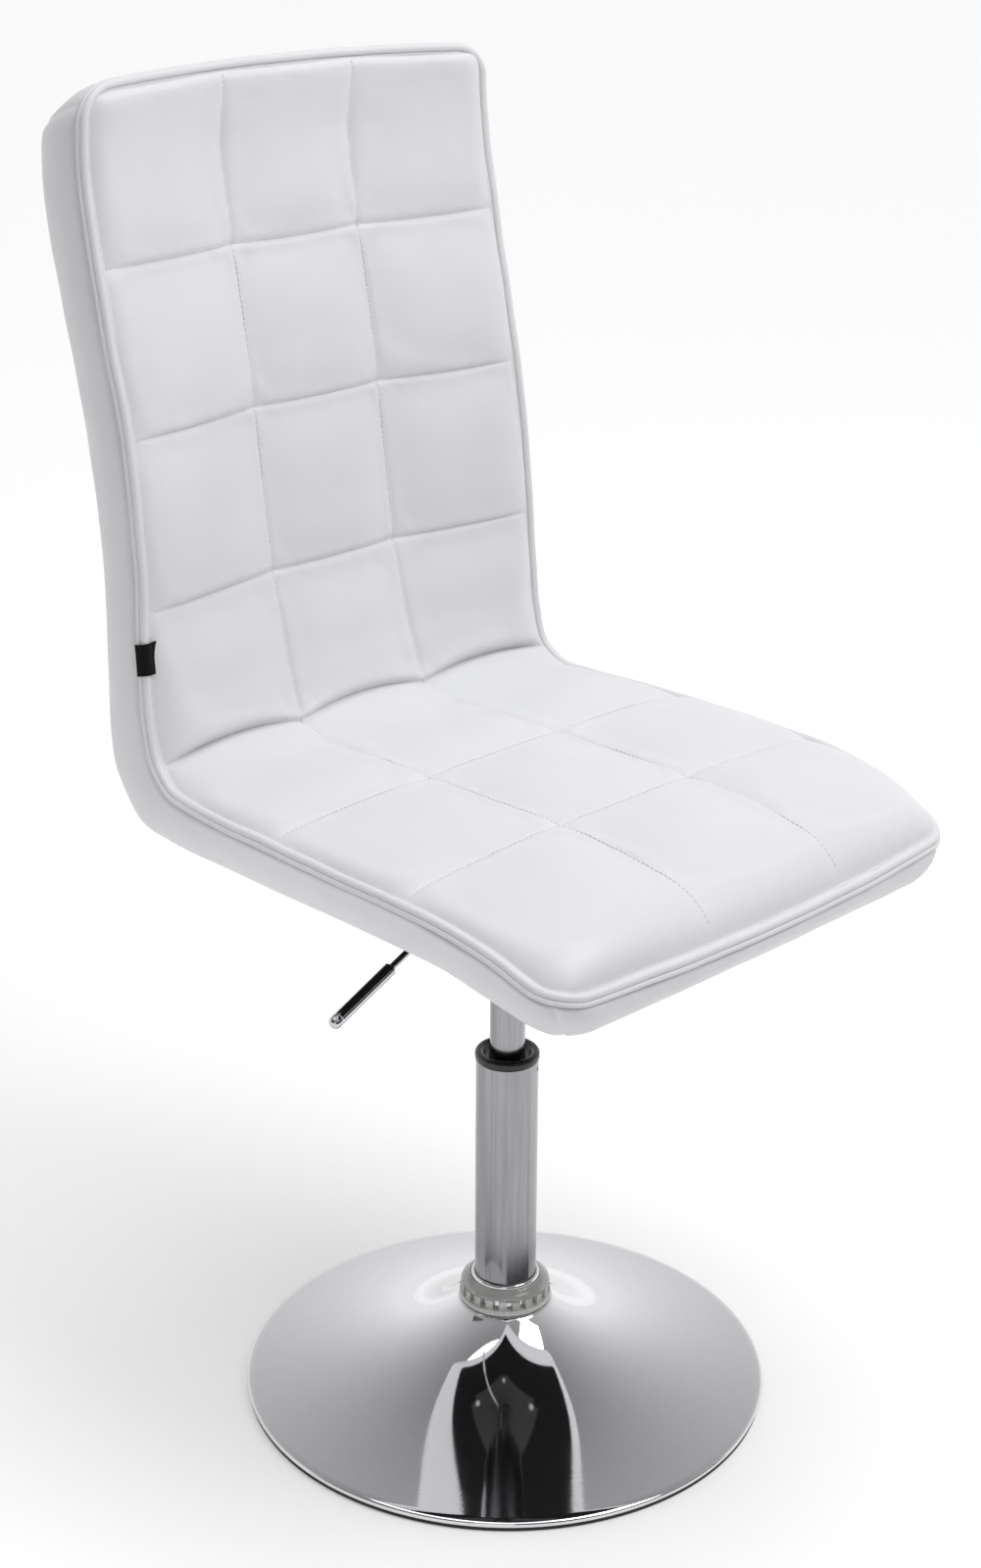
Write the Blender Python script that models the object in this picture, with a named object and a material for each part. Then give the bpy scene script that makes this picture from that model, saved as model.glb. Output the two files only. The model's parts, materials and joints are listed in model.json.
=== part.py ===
"""A height-adjustable swivel chair with a bent quilted shell on a trumpet base.

Metres, +Z up. The origin is on the floor under the column, and the seat faces -Y.
The seat is at the top of its travel. The sitter's right hand, with the lever, is at -X.
"""

import math

import bmesh
import bpy
import numpy as np
from mathutils import Matrix, Vector

GAP = 0.0003

# Trumpet base
BASE_RADIUS = 0.213
SHEET = 0.0024
FLOOR_RING_HEIGHT = 0.0035
NECK_RADIUS = 0.036
NECK_TOP = 0.0765
FLARE_SCALE = 0.01028
FLARE_SHIFT = 0.0594
BALLAST_INNER = 0.070
BALLAST_OUTER = 0.135
BALLAST_BOTTOM = 0.0130

# Column
TUBE_RADIUS = 0.025
TUBE_WALL = 0.002
TUBE_BOTTOM = 0.032
TUBE_TOP = 0.293
SOCKET_WALL = 0.0037
PRESSURE_RADIUS = 0.014
PRESSURE_BORE = 0.0115
PRESSURE_BOTTOM = 0.235
PRESSURE_TOP = 0.457
ROD_RADIUS = 0.005
ROD_BOTTOM = 0.0345
ROD_TOP = 0.245
SLEEVE_TOP = 0.3003
RING_RADIUS = 0.037
RING_TEETH = 15

# Seat mounting
PLATE_TOP = 0.478
PLATE_THICKNESS = 0.003
PLATE_HALF = (0.085, 0.080)
BOLT_HALF = (0.062, 0.058)
BOLT_RADIUS = 0.003
HUB_BOTTOM = 0.433
HUB_WALL = 0.0042

# Lever
LEVER_HEIGHT = 0.469
LEVER_SLOPE = math.radians(24.3)
LEVER_ROD_RADIUS = 0.0027
LEVER_INNER_END = 0.0035
LEVER_ROD_END = -0.140
GRIP_START = -0.1245
GRIP_END = -0.185
GRIP_RADIUS = 0.0052
PIVOT_X = -0.0165
PIVOT_RADIUS = 0.0010
PIN_RADIUS = 0.0035

# Shell: corner radii at the top and at the front, and the arch of the top edge
TOP_CORNER = 0.026
FRONT_CORNER = 0.024
TOP_ARCH = 0.005
ARCH_REACH = 0.08
BULGE = 0.007
COVER = 0.002
PANEL = 0.005
BOARD = 0.0097
PIPING_RADIUS = 0.0028
SIDE_SEAM = 0.1935

# The shell from the top of the back to the front of the seat: the front face's edge (y, z), the
# rear or under face (y, z), how far the padding stands in front of the edge, how far the middle
# lies behind the sides, the half width at the piping, and the share by which the rear is narrower.
# The front face alone is hollow across the back and bowed along the seat's front edge
STATIONS = np.array([
    (0.2300, 1.0420, 0.2825, 1.0180, 0.0000, 0.0180, 0.1970, 0.000),
    (0.2320, 0.9960, 0.2825, 0.9810, 0.0030, 0.0180, 0.1990, 0.000),
    (0.2150, 0.8915, 0.2710, 0.8830, 0.0050, 0.0180, 0.2008, 0.000),
    (0.1918, 0.7850, 0.2460, 0.7780, 0.0050, 0.0240, 0.2004, 0.000),
    (0.1812, 0.7000, 0.2345, 0.6950, 0.0050, 0.0240, 0.2025, 0.005),
    (0.1775, 0.6236, 0.2335, 0.6120, 0.0080, 0.0180, 0.2060, 0.020),
    (0.1739, 0.5829, 0.2355, 0.5530, 0.0110, 0.0130, 0.2074, 0.035),
    (0.1633, 0.5500, 0.2290, 0.5170, 0.0100, 0.0060, 0.2087, 0.050),
    (0.1451, 0.5370, 0.2070, 0.4900, 0.0130, 0.0000, 0.2115, 0.065),
    (0.1173, 0.5338, 0.1680, 0.4825, 0.0150, 0.0000, 0.2154, 0.080),
    (0.0727, 0.5340, 0.1000, 0.4813, 0.0160, 0.0000, 0.2196, 0.100),
    (-0.0019, 0.5340, 0.0120, 0.4806, 0.0160, 0.0000, 0.2230, 0.110),
    (-0.0764, 0.5331, -0.0680, 0.4800, 0.0170, 0.0000, 0.2240, 0.110),
    (-0.1459, 0.5296, -0.1380, 0.4765, 0.0200, 0.0000, 0.2222, 0.110),
    (-0.1999, 0.5194, -0.1890, 0.4670, 0.0210, -0.0035, 0.2181, 0.100),
    (-0.2314, 0.5067, -0.2240, 0.4625, 0.0170, -0.0090, 0.2140, 0.090),
    (-0.2545, 0.5005, -0.2500, 0.4650, 0.0000, -0.0155, 0.2100, 0.085),
])
STEPS = np.linalg.norm(np.diff(STATIONS[:, :2], axis=0), axis=1)
KNOTS = np.concatenate([[0.0], np.cumsum(STEPS)])
SLOPES = np.gradient(STATIONS, KNOTS, axis=0)
LENGTH = KNOTS[-1]
CREASE = KNOTS[7]
BEND_STEPS = (5, 6, 7, 8, 9)
COLUMNS = (-1.0, -0.5, 0.0, 0.5, 1.0)
CORNER_ANGLES = (0.0, 30.0, 60.0, 90.0)


def clear_scene():
    for old in list(bpy.data.objects):
        bpy.data.objects.remove(old, do_unlink=True)


def material(name, color, roughness, metallic=0.0):
    made = bpy.data.materials.new(name)
    made.use_nodes = True
    shader = made.node_tree.nodes["Principled BSDF"]
    shader.inputs["Base Color"].default_value = (*color, 1.0)
    shader.inputs["Roughness"].default_value = roughness
    shader.inputs["Metallic"].default_value = metallic
    return made


def empty(name, place, parent=None):
    made = bpy.data.objects.new(name, None)
    made.empty_display_size = 0.03
    bpy.context.scene.collection.objects.link(made)
    made.parent = parent
    made.location = Vector(place) - (parent.matrix_world.translation if parent else Vector())
    bpy.context.view_layer.update()
    return made


def add_object(name, bm, finish, parent, smooth_angle=35.0):
    """Turns a bmesh in world space into an object under parent, whose origin becomes its own."""
    bmesh.ops.recalc_face_normals(bm, faces=bm.faces)
    if parent:
        bmesh.ops.translate(bm, verts=bm.verts, vec=-parent.matrix_world.translation)
    mesh = bpy.data.meshes.new(name)
    bm.to_mesh(mesh)
    bm.free()
    mesh.shade_smooth()
    mesh.set_sharp_from_angle(angle=math.radians(smooth_angle))
    mesh.materials.append(finish)
    made = bpy.data.objects.new(name, mesh)
    bpy.context.scene.collection.objects.link(made)
    made.parent = parent
    return made


def cut(target, cutter, operation="DIFFERENCE"):
    modifier = target.modifiers.new(cutter.name, "BOOLEAN")
    modifier.operation = operation
    modifier.solver = "EXACT"
    modifier.object = cutter


def as_cutter(made):
    made.hide_render = True
    made.display_type = "WIRE"
    return made


def turned(outline, segments):
    """A bmesh of a closed (radius, z) outline turned about the Z axis. Radius 0 is a pole."""
    bm = bmesh.new()
    rings = []
    for radius, z in outline:
        if radius == 0:
            rings.append([bm.verts.new((0, 0, z))])
            continue
        angles = [2 * math.pi * k / segments for k in range(segments)]
        rings.append([bm.verts.new((radius * math.cos(a), radius * math.sin(a), z)) for a in angles])
    for here, after in zip(rings, rings[1:] + rings[:1]):
        for k in range(segments):
            corners = [here[k % len(here)], here[(k + 1) % len(here)]]
            corners += [after[(k + 1) % len(after)], after[k % len(after)]]
            unique = list(dict.fromkeys(corners))
            if len(unique) > 2:
                bm.faces.new(unique)
    return bm


def washer(inner, outer, bottom, top):
    return [(outer, top), (outer, bottom), (inner, bottom), (inner, top)]


def rod(radius, bottom, top):
    return [(0, top), (radius, top), (radius, bottom), (0, bottom)]


def box(low, high):
    bm = bmesh.new()
    bmesh.ops.create_cube(bm, size=1.0)
    size = Vector(high) - Vector(low)
    middle = (Vector(high) + Vector(low)) / 2
    bmesh.ops.scale(bm, vec=size, verts=bm.verts)
    bmesh.ops.translate(bm, vec=middle, verts=bm.verts)
    return bm


# Trumpet base and column


def flare(radius):
    """Height of the trumpet's outer face above the floor."""
    base = FLARE_SCALE / (BASE_RADIUS + FLARE_SHIFT)
    return FLOOR_RING_HEIGHT + 0.0045 + FLARE_SCALE / (radius + FLARE_SHIFT) - base


def base_disc(finish, parent):
    """A spun sheet: a flat neck with a hole for the tube, the flare, and a rim turned down."""
    radii = [NECK_RADIUS + (BASE_RADIUS - NECK_RADIUS - 0.003) * (k / 7) ** 1.5 for k in range(8)]
    hole = TUBE_RADIUS + GAP
    rim = FLOOR_RING_HEIGHT + GAP
    outer = [(hole, NECK_TOP - GAP), (NECK_RADIUS - 0.001, NECK_TOP - GAP)]
    outer += [(r, min(flare(r), NECK_TOP - 2 * GAP)) for r in radii]
    outer += [(BASE_RADIUS, rim + 0.0022), (BASE_RADIUS - 0.0005, rim)]
    inner = [(BASE_RADIUS - SHEET - 0.002, rim), (BASE_RADIUS - SHEET - 0.003, rim + 0.0015)]
    inner += [(r - 0.4 * SHEET, flare(r) - SHEET) for r in reversed(radii[1:-1:2])]
    inner += [(NECK_RADIUS - SHEET, NECK_TOP - 1.8 * SHEET), (hole, NECK_TOP - SHEET)]
    return add_object("base_disc", turned(outer + inner, 40), finish, parent, 50)


def floor_ring(finish, parent):
    outline = washer(BASE_RADIUS - 0.016, BASE_RADIUS - 0.001, 0.0, FLOOR_RING_HEIGHT)
    return add_object("floor_ring", turned(outline, 40), finish, parent)


def ballast_weight(finish, parent):
    """A cast ring under the flare, which keeps the chair from tipping."""
    radii = [BALLAST_INNER + (BALLAST_OUTER - BALLAST_INNER) * k / 4 for k in range(5)]
    top = [(r, flare(r) - SHEET - 0.0016 - 0.004 * (BALLAST_OUTER - r)) for r in radii]
    top[0] = (top[0][0], top[0][1] - 0.003)
    bottom = [(BALLAST_OUTER, BALLAST_BOTTOM), (BALLAST_INNER, BALLAST_BOTTOM)]
    return add_object("ballast_weight", turned(top + bottom, 28), finish, parent)


def column_ring(finish, parent):
    """The moulded ring at the foot of the tube: a flange, a band of teeth and a sloping lip."""
    bm = bmesh.new()
    inner = TUBE_RADIUS + GAP
    root = RING_RADIUS - 0.003
    levels = [
        (inner, inner, 0.0768),
        (RING_RADIUS, RING_RADIUS, 0.0768),
        (RING_RADIUS, RING_RADIUS, 0.0805),
        (RING_RADIUS - 0.0008, root, 0.0812),
        (RING_RADIUS - 0.0012, root - 0.0006, 0.0895),
        (root, root, 0.0915),
        (0.0300, 0.0300, 0.0965),
        (0.0283, 0.0283, 0.0965),
        (0.0283, 0.0283, 0.0925),
        (inner, inner, 0.0925),
    ]
    count = 4 * RING_TEETH
    rings = []
    for crest, valley, z in levels:
        ring = []
        for k in range(count):
            radius = crest if k % 4 < 2 else valley
            angle = 2 * math.pi * (k + 0.15 * (k % 2)) / count
            ring.append(bm.verts.new((radius * math.cos(angle), radius * math.sin(angle), z)))
        rings.append(ring)
    for here, after in zip(rings, rings[1:] + rings[:1]):
        for k in range(count):
            bm.faces.new((here[k], here[(k + 1) % count], after[(k + 1) % count], after[k]))
    return add_object("column_ring", bm, finish, parent, 30)


def guide_sleeve(finish, parent):
    """A flanged plastic sleeve in the top of the stand tube, which guides the pressure tube."""
    bore = PRESSURE_RADIUS + GAP
    skirt = TUBE_RADIUS - TUBE_WALL - GAP
    outline = [
        (bore, SLEEVE_TOP - 0.001),
        (bore + 0.002, SLEEVE_TOP),
        (TUBE_RADIUS - 0.0035, SLEEVE_TOP),
        (TUBE_RADIUS - 0.0010, SLEEVE_TOP - 0.0012),
        (TUBE_RADIUS, SLEEVE_TOP - 0.0035),
        (TUBE_RADIUS, TUBE_TOP + GAP),
        (skirt, TUBE_TOP + GAP),
        (skirt, 0.210),
        (bore, 0.210),
    ]
    return add_object("guide_sleeve", turned(outline, 28), finish, parent)


def column(finishes, parent):
    """Everything of the stand tube that doesn't turn."""
    steel, chrome = finishes["steel"], finishes["chrome"]
    inner = TUBE_RADIUS - TUBE_WALL
    tube = washer(inner, TUBE_RADIUS, TUBE_BOTTOM, TUBE_TOP)
    add_object("stand_tube", turned(tube, 32), chrome, parent)
    outer = TUBE_RADIUS + GAP
    socket = washer(outer, outer + SOCKET_WALL, 0.034, NECK_TOP - 1.8 * SHEET)
    add_object("base_socket", turned(socket, 24), steel, parent)
    plate = washer(ROD_RADIUS + GAP, inner - GAP, 0.040, 0.044)
    add_object("tube_end_plate", turned(plate, 18), steel, parent)
    add_object("lower_race", turned(washer(0.006, 0.018, 0.0443, 0.0463), 18), steel, parent)
    add_object("ball_cage", turned(washer(0.0065, 0.0175, 0.0466, 0.0496), 18), steel, parent)
    bead = [(0.0266, 0.0990), (0.0276, 0.0980), (0.0279, 0.0955), (0.0279, 0.0929), (outer, 0.0929)]
    bead += [(outer, 0.0990)]
    add_object("foot_bead", turned(bead, 28), chrome, parent)
    guide_sleeve(finishes["black_plastic"], parent)
    column_ring(finishes["clear_plastic"], parent)


def piston(finishes, parent):
    """The gas spring's rod, which turns on its bearing and carries the seat."""
    steel = finishes["steel"]
    around = ROD_RADIUS + GAP
    bar = turned(rod(ROD_RADIUS, ROD_BOTTOM, ROD_TOP), 16)
    add_object("piston_rod", bar, finishes["chrome"], parent)
    head = rod(PRESSURE_BORE - 0.0005, ROD_TOP + GAP, ROD_TOP + 0.015)
    add_object("piston_head", turned(head, 16), steel, parent)
    add_object("upper_race", turned(washer(around, 0.018, 0.0499, 0.0519), 18), steel, parent)
    buffer_ring = washer(around, 0.0125, 0.0522, 0.0620)
    add_object("rubber_buffer", turned(buffer_ring, 16), finishes["rubber"], parent)
    add_object("rod_washer", turned(washer(around, 0.011, 0.0378, 0.0397), 16), steel, parent)
    add_object("rod_clip", turned(washer(around, 0.0085, 0.0360, 0.0375), 16), steel, parent)


# Seat mounting and lever


def pressure_tube(finish, parent):
    """The gas spring's cylinder: open below, closed above apart from the release pin's hole."""
    outline = [
        (PIN_RADIUS + GAP, PRESSURE_TOP),
        (PRESSURE_RADIUS - 0.0008, PRESSURE_TOP),
        (PRESSURE_RADIUS, PRESSURE_TOP - 0.0008),
        (PRESSURE_RADIUS, PRESSURE_BOTTOM),
        (PRESSURE_BORE, PRESSURE_BOTTOM),
        (PRESSURE_BORE, PRESSURE_TOP - 0.008),
        (PIN_RADIUS + GAP, PRESSURE_TOP - 0.008),
    ]
    return add_object("pressure_tube", turned(outline, 28), finish, parent)


def lever_point(x):
    return Vector((x, 0.0, LEVER_HEIGHT + x * math.tan(LEVER_SLOPE)))


def along_lever(bm):
    """Lays a shape made along +Z on the lever's line, so that its z becomes the distance out."""
    turn = Matrix.Rotation(-math.pi / 2 - LEVER_SLOPE, 4, "Y")
    bmesh.ops.transform(bm, matrix=Matrix.Translation(lever_point(0.0)) @ turn, verts=bm.verts)
    return bm


def pivot_cutter(radius, half_length, parent):
    bm = turned(rod(radius, -half_length, half_length), 12)
    matrix = Matrix.Translation(lever_point(PIVOT_X)) @ Matrix.Rotation(math.pi / 2, 4, "X")
    bmesh.ops.transform(bm, matrix=matrix, verts=bm.verts)
    return bm


def mount_hub(finish, parent):
    """The socket that the pressure tube wedges into, slotted on the lever's side."""
    bore = PRESSURE_RADIUS + GAP
    outline = washer(bore, bore + HUB_WALL, HUB_BOTTOM, PLATE_TOP - PLATE_THICKNESS - GAP)
    hub = add_object("mount_hub", turned(outline, 28), finish, parent)
    slot = box((-0.030, -0.0042, 0.4540), (-0.006, 0.0042, 0.4700))
    cut(hub, as_cutter(add_object("hub_slot_cutter", slot, finish, parent)))
    bore_cut = pivot_cutter(PIVOT_RADIUS + GAP, 0.012, parent)
    cut(hub, as_cutter(add_object("hub_pivot_cutter", bore_cut, finish, parent)))
    return hub


def mount_plate(finish, parent, bolt_places):
    low = (-PLATE_HALF[0], -PLATE_HALF[1], PLATE_TOP - PLATE_THICKNESS)
    high = (PLATE_HALF[0], PLATE_HALF[1], PLATE_TOP)
    bm = box(low, high)
    upright = [e for e in bm.edges if abs(e.verts[0].co.z - e.verts[1].co.z) > 0.001]
    bmesh.ops.bevel(bm, geom=upright, offset=0.018, segments=3, affect="EDGES")
    plate = add_object("mount_plate", bm, finish, parent)
    for number, place in enumerate(bolt_places, 1):
        drill(plate, f"plate_hole_{number}", place, BOLT_RADIUS + GAP, finish, parent)
    return plate


def drill(target, name, place, radius, finish, parent, bottom=0.45, top=0.50):
    bm = turned(rod(radius, bottom, top), 12)
    bmesh.ops.translate(bm, verts=bm.verts, vec=(place[0], place[1], 0))
    cut(target, as_cutter(add_object(name, bm, finish, parent)))


def bolt(number, place, finish, parent):
    under = PLATE_TOP - PLATE_THICKNESS - GAP
    outline = [
        (0, 0.4925),
        (BOLT_RADIUS, 0.4925),
        (BOLT_RADIUS, under),
        (0.0068, under),
        (0.0068, under - 0.0042),
        (0.0052, under - 0.0052),
        (0, under - 0.0052),
    ]
    bm = turned(outline, 12)
    bmesh.ops.translate(bm, verts=bm.verts, vec=(place[0], place[1], 0))
    return add_object(f"plate_bolt_{number}", bm, finish, parent)


def tee_nut(number, place, finish, parent):
    top = board_height(place[1]) + GAP + 0.0013
    bore = BOLT_RADIUS + GAP
    outline = [(bore, top), (0.009, top), (0.009, top - 0.0013), (0.0048, top - 0.0013)]
    outline += [(0.0048, top - 0.0085), (bore, top - 0.0085)]
    bm = turned(outline, 12)
    bmesh.ops.translate(bm, verts=bm.verts, vec=(place[0], place[1], 0))
    return add_object(f"tee_nut_{number}", bm, finish, parent)


def lever_rod(finish, parent):
    start = -LEVER_INNER_END / math.cos(LEVER_SLOPE)
    end = -LEVER_ROD_END / math.cos(LEVER_SLOPE)
    bm = along_lever(turned(rod(LEVER_ROD_RADIUS, start, end), 16))
    made = add_object("lever_rod", bm, finish, parent)
    hole = pivot_cutter(PIVOT_RADIUS + GAP, 0.012, parent)
    cut(made, as_cutter(add_object("lever_pivot_cutter", hole, finish, parent)))
    return made


def lever_grip(finish, parent):
    """A thicker bar pushed over the rod's end, with a rounded tip."""
    start = -GRIP_START / math.cos(LEVER_SLOPE)
    end = -GRIP_END / math.cos(LEVER_SLOPE)
    bore_end = -LEVER_ROD_END / math.cos(LEVER_SLOPE) + GAP
    bore = LEVER_ROD_RADIUS + GAP
    outline = [(0, end), (GRIP_RADIUS * 0.62, end - 0.0008), (GRIP_RADIUS, end - 0.004)]
    outline += [(GRIP_RADIUS, start + 0.001), (GRIP_RADIUS - 0.001, start), (bore, start)]
    outline += [(bore, bore_end), (0, bore_end)]
    return add_object("lever_grip", along_lever(turned(outline, 20)), finish, parent)


def release_pin(finish, parent):
    top = LEVER_HEIGHT - 0.0036
    outline = [(0, top), (0.0015, top - 0.0006), (0.0028, top - 0.0019), (PIN_RADIUS, top - 0.0042)]
    outline += [(PIN_RADIUS, 0.443), (0, 0.443)]
    return add_object("release_pin", turned(outline, 16), finish, parent)


# Upholstered shell


def station(s):
    """The row of STATIONS at the distance s down the front face, carried on straight past the ends."""
    inside = min(max(s, 0.0), LENGTH)
    i = min(int(np.searchsorted(KNOTS, inside, side="right")) - 1, len(KNOTS) - 2)
    step = KNOTS[i + 1] - KNOTS[i]
    t = (inside - KNOTS[i]) / step
    blend = (2 * t**3 - 3 * t**2 + 1, t**3 - 2 * t**2 + t, 3 * t**2 - 2 * t**3, t**3 - t**2)
    value = blend[0] * STATIONS[i] + blend[1] * step * SLOPES[i]
    value = value + blend[2] * STATIONS[i + 1] + blend[3] * step * SLOPES[i + 1]
    if s != inside:
        end = 0 if s < 0 else -1
        value = value + SLOPES[end] * (s - inside) * (1, 1, 1, 1, 0, 0, 0, 0)
    return value


def half_width(s):
    return station(s)[6]


def bent(x, s, layer):
    """The place of a point x across and s down the shell, at a layer's depth behind the front."""
    share, offset, crown_share = layer
    arch = TOP_ARCH * (x / STATIONS[0][6]) ** 2 * min(max(1 - s / ARCH_REACH, 0.0), 1.3)
    value = station(s + arch)
    front, rear = Vector(value[0:2]), Vector(value[2:4])
    crown, bow, half, taper = value[4:8]
    out = min(abs(x / half), 1.0)
    across = rear - front
    depth = share * across.length + offset - max(crown, 0.0) * crown_share * (1 - out**3)
    place = front + across.normalized() * depth
    bow *= (1 - share) * (1 - out**2)
    return (x * (1 - taper * share), place[0] + bow, place[1])


def flat_grid(inset, start, end, radii):
    """Rows of (x, s) over a rectangle with round corners, drawn in from the edge by inset."""
    low, high = start + inset, end - inset
    first, last = (max(radius - inset, 0.001) for radius in radii)
    rows = []
    for angle in CORNER_ANGLES:
        turn = math.radians(angle)
        rows.append((low + first * (1 - math.cos(turn)), first * (1 - math.sin(turn))))
    margin = 0.012
    keep = (start + radii[0] + margin, end - radii[1] - margin)
    rows += [(s, 0.0) for s in middle_rows() if keep[0] < s < keep[1]]
    for angle in reversed(CORNER_ANGLES):
        turn = math.radians(angle)
        rows.append((high - last * (1 - math.cos(turn)), last * (1 - math.sin(turn))))
    widths = [half_width(s) - inset - cut_off for s, cut_off in rows]
    return [[(column * width, s) for column in COLUMNS] for width, (s, _) in zip(widths, rows)]


def middle_rows():
    """The stations, with one more row in the middle of each step that is long or bends sharply."""
    rows = []
    for number, (here, step) in enumerate(zip(KNOTS, STEPS)):
        divided = step > 0.07 or number in BEND_STEPS
        rows += [here, here + step / 2] if divided else [here]
    return rows


def rim_of(grid):
    """The outline of a grid of points, once round."""
    return (
        grid[0]
        + [row[-1] for row in grid[1:-1]]
        + grid[-1][::-1]
        + [row[0] for row in grid[-2:0:-1]]
    )


def layered_solid(rings, start=0.0, end=LENGTH, radii=(TOP_CORNER, FRONT_CORNER)):
    """A closed bmesh through rings of (inset, layer). The first and the last are filled in."""
    bm = bmesh.new()

    def place(grid, layer):
        return [[bm.verts.new(bent(x, s, layer)) for x, s in row] for row in grid]

    def fill(grid):
        for upper, lower in zip(grid, grid[1:]):
            for k in range(len(upper) - 1):
                bm.faces.new((upper[k], upper[k + 1], lower[k + 1], lower[k]))

    loops = []
    for number, (inset, layer) in enumerate(rings):
        grid = flat_grid(inset, start, end, radii)
        if number in (0, len(rings) - 1):
            grid = place(grid, layer)
            fill(grid)
            loops.append(rim_of(grid))
        else:
            loops.append(place([rim_of(grid)], layer)[0])
    for here, after in zip(loops, loops[1:]):
        for k in range(len(here)):
            n = (k + 1) % len(here)
            bm.faces.new((here[k], here[n], after[n], after[k]))
    return bm


def board_height(y):
    """Height of the board's upper face over a bolt, where the seat is nearly flat."""
    heights = STATIONS[::-1]
    under = np.interp(y, heights[:, 2], heights[:, 3])
    return float(under) + COVER + 2 * GAP + 0.0014 + BOARD


def board_layers():
    rear = -(COVER + 2 * GAP + 0.0009)
    return (1.0, rear - BOARD, 0.0), (1.0, rear, 0.0)


def plywood_shell(finish, parent, bolt_places):
    upper, lower = board_layers()
    bm = layered_solid([(0.030, upper), (0.020, upper), (0.020, lower), (0.030, lower)])
    board = add_object("plywood_shell", bm, finish, parent)
    for number, place in enumerate(bolt_places, 1):
        drill(board, f"board_hole_{number}", place, 0.0048 + GAP, finish, parent)
    return board


def foam(name, start, end, radii, finish, parent):
    under = -(COVER + BOARD + 0.0054)
    rings = [
        (0.020, (0.0, PANEL + 0.0045, 1.0)),
        (0.008, (0.0, PANEL + 0.0032, 1.0)),
        (0.0045, (0.3, 0.0, 0.0)),
        (0.0045, (1.0, under - 0.003, 0.0)),
        (0.020, (1.0, under, 0.0)),
    ]
    return add_object(name, layered_solid(rings, start, end, radii), finish, parent)


def quilted_panel(finish, parent):
    """The sewn front cover with its wadding, as a plain crowned sheet."""
    rings = [
        (0.020, (0.0, 0.0, 1.0)),
        (0.008, (0.0, -0.0010, 1.0)),
        (0.0036, (0.0, 0.0, 1.0)),
        (0.0036, (0.0, 0.0042, 1.0)),
        (0.008, (0.0, 0.0046, 1.0)),
        (0.020, (0.0, PANEL, 1.0)),
    ]
    return add_object("quilted_panel", layered_solid(rings), finish, parent)


def cover_bmesh():
    """The boxing and the rear cover as one thin tray, open towards the quilted panel."""
    rim = PIPING_RADIUS + 0.0012
    outer = [
        (0.020, (1.0, 0.0, 0.0)),
        (0.010, (1.0, -0.0025, 0.0)),
        (0.002, (1.0, -0.0090, 0.0)),
        (-0.0050, (0.66, 0.0, 0.0)),
        (-BULGE, (0.40, 0.0, 0.0)),
        (-0.0010, (0.0, rim, 0.0)),
    ]
    inner = [
        (0.0010, (0.0, rim, 0.0)),
        (COVER - BULGE, (0.40, 0.0, 0.0)),
        (COVER - 0.0050, (0.66, 0.0, 0.0)),
        (0.0038, (1.0, -0.0098, 0.0)),
        (0.0112, (1.0, -0.0043, 0.0)),
        (0.020, (1.0, -COVER, 0.0)),
    ]
    return layered_solid(outer + inner)


def covers(finish, parent, bolt_places):
    """The cover is sewn from two side bands and one long strip round the back and underside."""
    far = 0.4
    seam = SIDE_SEAM
    parts = {
        "side_band_left": ((seam + GAP / 2, -far, 0.3), (far, far, 1.2)),
        "side_band_right": ((-far, -far, 0.3), (-seam - GAP / 2, far, 1.2)),
        "rear_cover": ((-seam + GAP / 2, -far, 0.3), (seam - GAP / 2, far, 1.2)),
    }
    for name, (low, high) in parts.items():
        made = add_object(name, cover_bmesh(), finish, parent)
        region = as_cutter(add_object(f"{name}_region", box(low, high), finish, parent))
        cut(made, region, "INTERSECT")
        if name == "rear_cover":
            for number, place in enumerate(bolt_places, 1):
                drill(made, f"cover_hole_{number}", place, BOLT_RADIUS + GAP, finish, parent)


def piping(finish, parent):
    """A welt cord all round the seam between the quilted panel and the boxing."""
    curve = bpy.data.curves.new("piping", "CURVE")
    curve.dimensions = "3D"
    curve.bevel_depth = PIPING_RADIUS
    curve.bevel_resolution = 1
    route = rim_of(flat_grid(0.0, 0.0, LENGTH, (TOP_CORNER, FRONT_CORNER)))
    spline = curve.splines.new("POLY")
    spline.points.add(len(route) - 1)
    spline.use_cyclic_u = True
    spline.use_smooth = True
    origin = parent.matrix_world.translation
    for point, (x, s) in zip(spline.points, route):
        point.co = (*(Vector(bent(x, s, (0.0, 0.0, 0.0))) - origin), 1.0)
    curve.materials.append(finish)
    made = bpy.data.objects.new("piping", curve)
    bpy.context.scene.collection.objects.link(made)
    made.parent = parent
    return made


def side_tag(finish, parent):
    """A blank woven label sewn into the seam on the sitter's right."""
    s = float(np.interp(-0.631, -STATIONS[:, 1], KNOTS))
    half, depth, thick = 0.012, -0.0036, 0.0010
    bm = bmesh.new()
    outer = -half_width(s) - 0.002
    inner = outer + 0.015
    corners = [(outer, s - half), (inner, s - half), (inner, s + half), (outer, s + half)]
    loops = []
    for offset in (depth, depth - thick):
        loops.append([bm.verts.new(bent(x, t, (0.0, offset, 0.0))) for x, t in corners])
    for loop in loops:
        bm.faces.new(loop)
    for k in range(4):
        n = (k + 1) % 4
        bm.faces.new((loops[0][k], loops[0][n], loops[1][n], loops[1][k]))
    return add_object("side_tag", bm, finish, parent)


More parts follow.
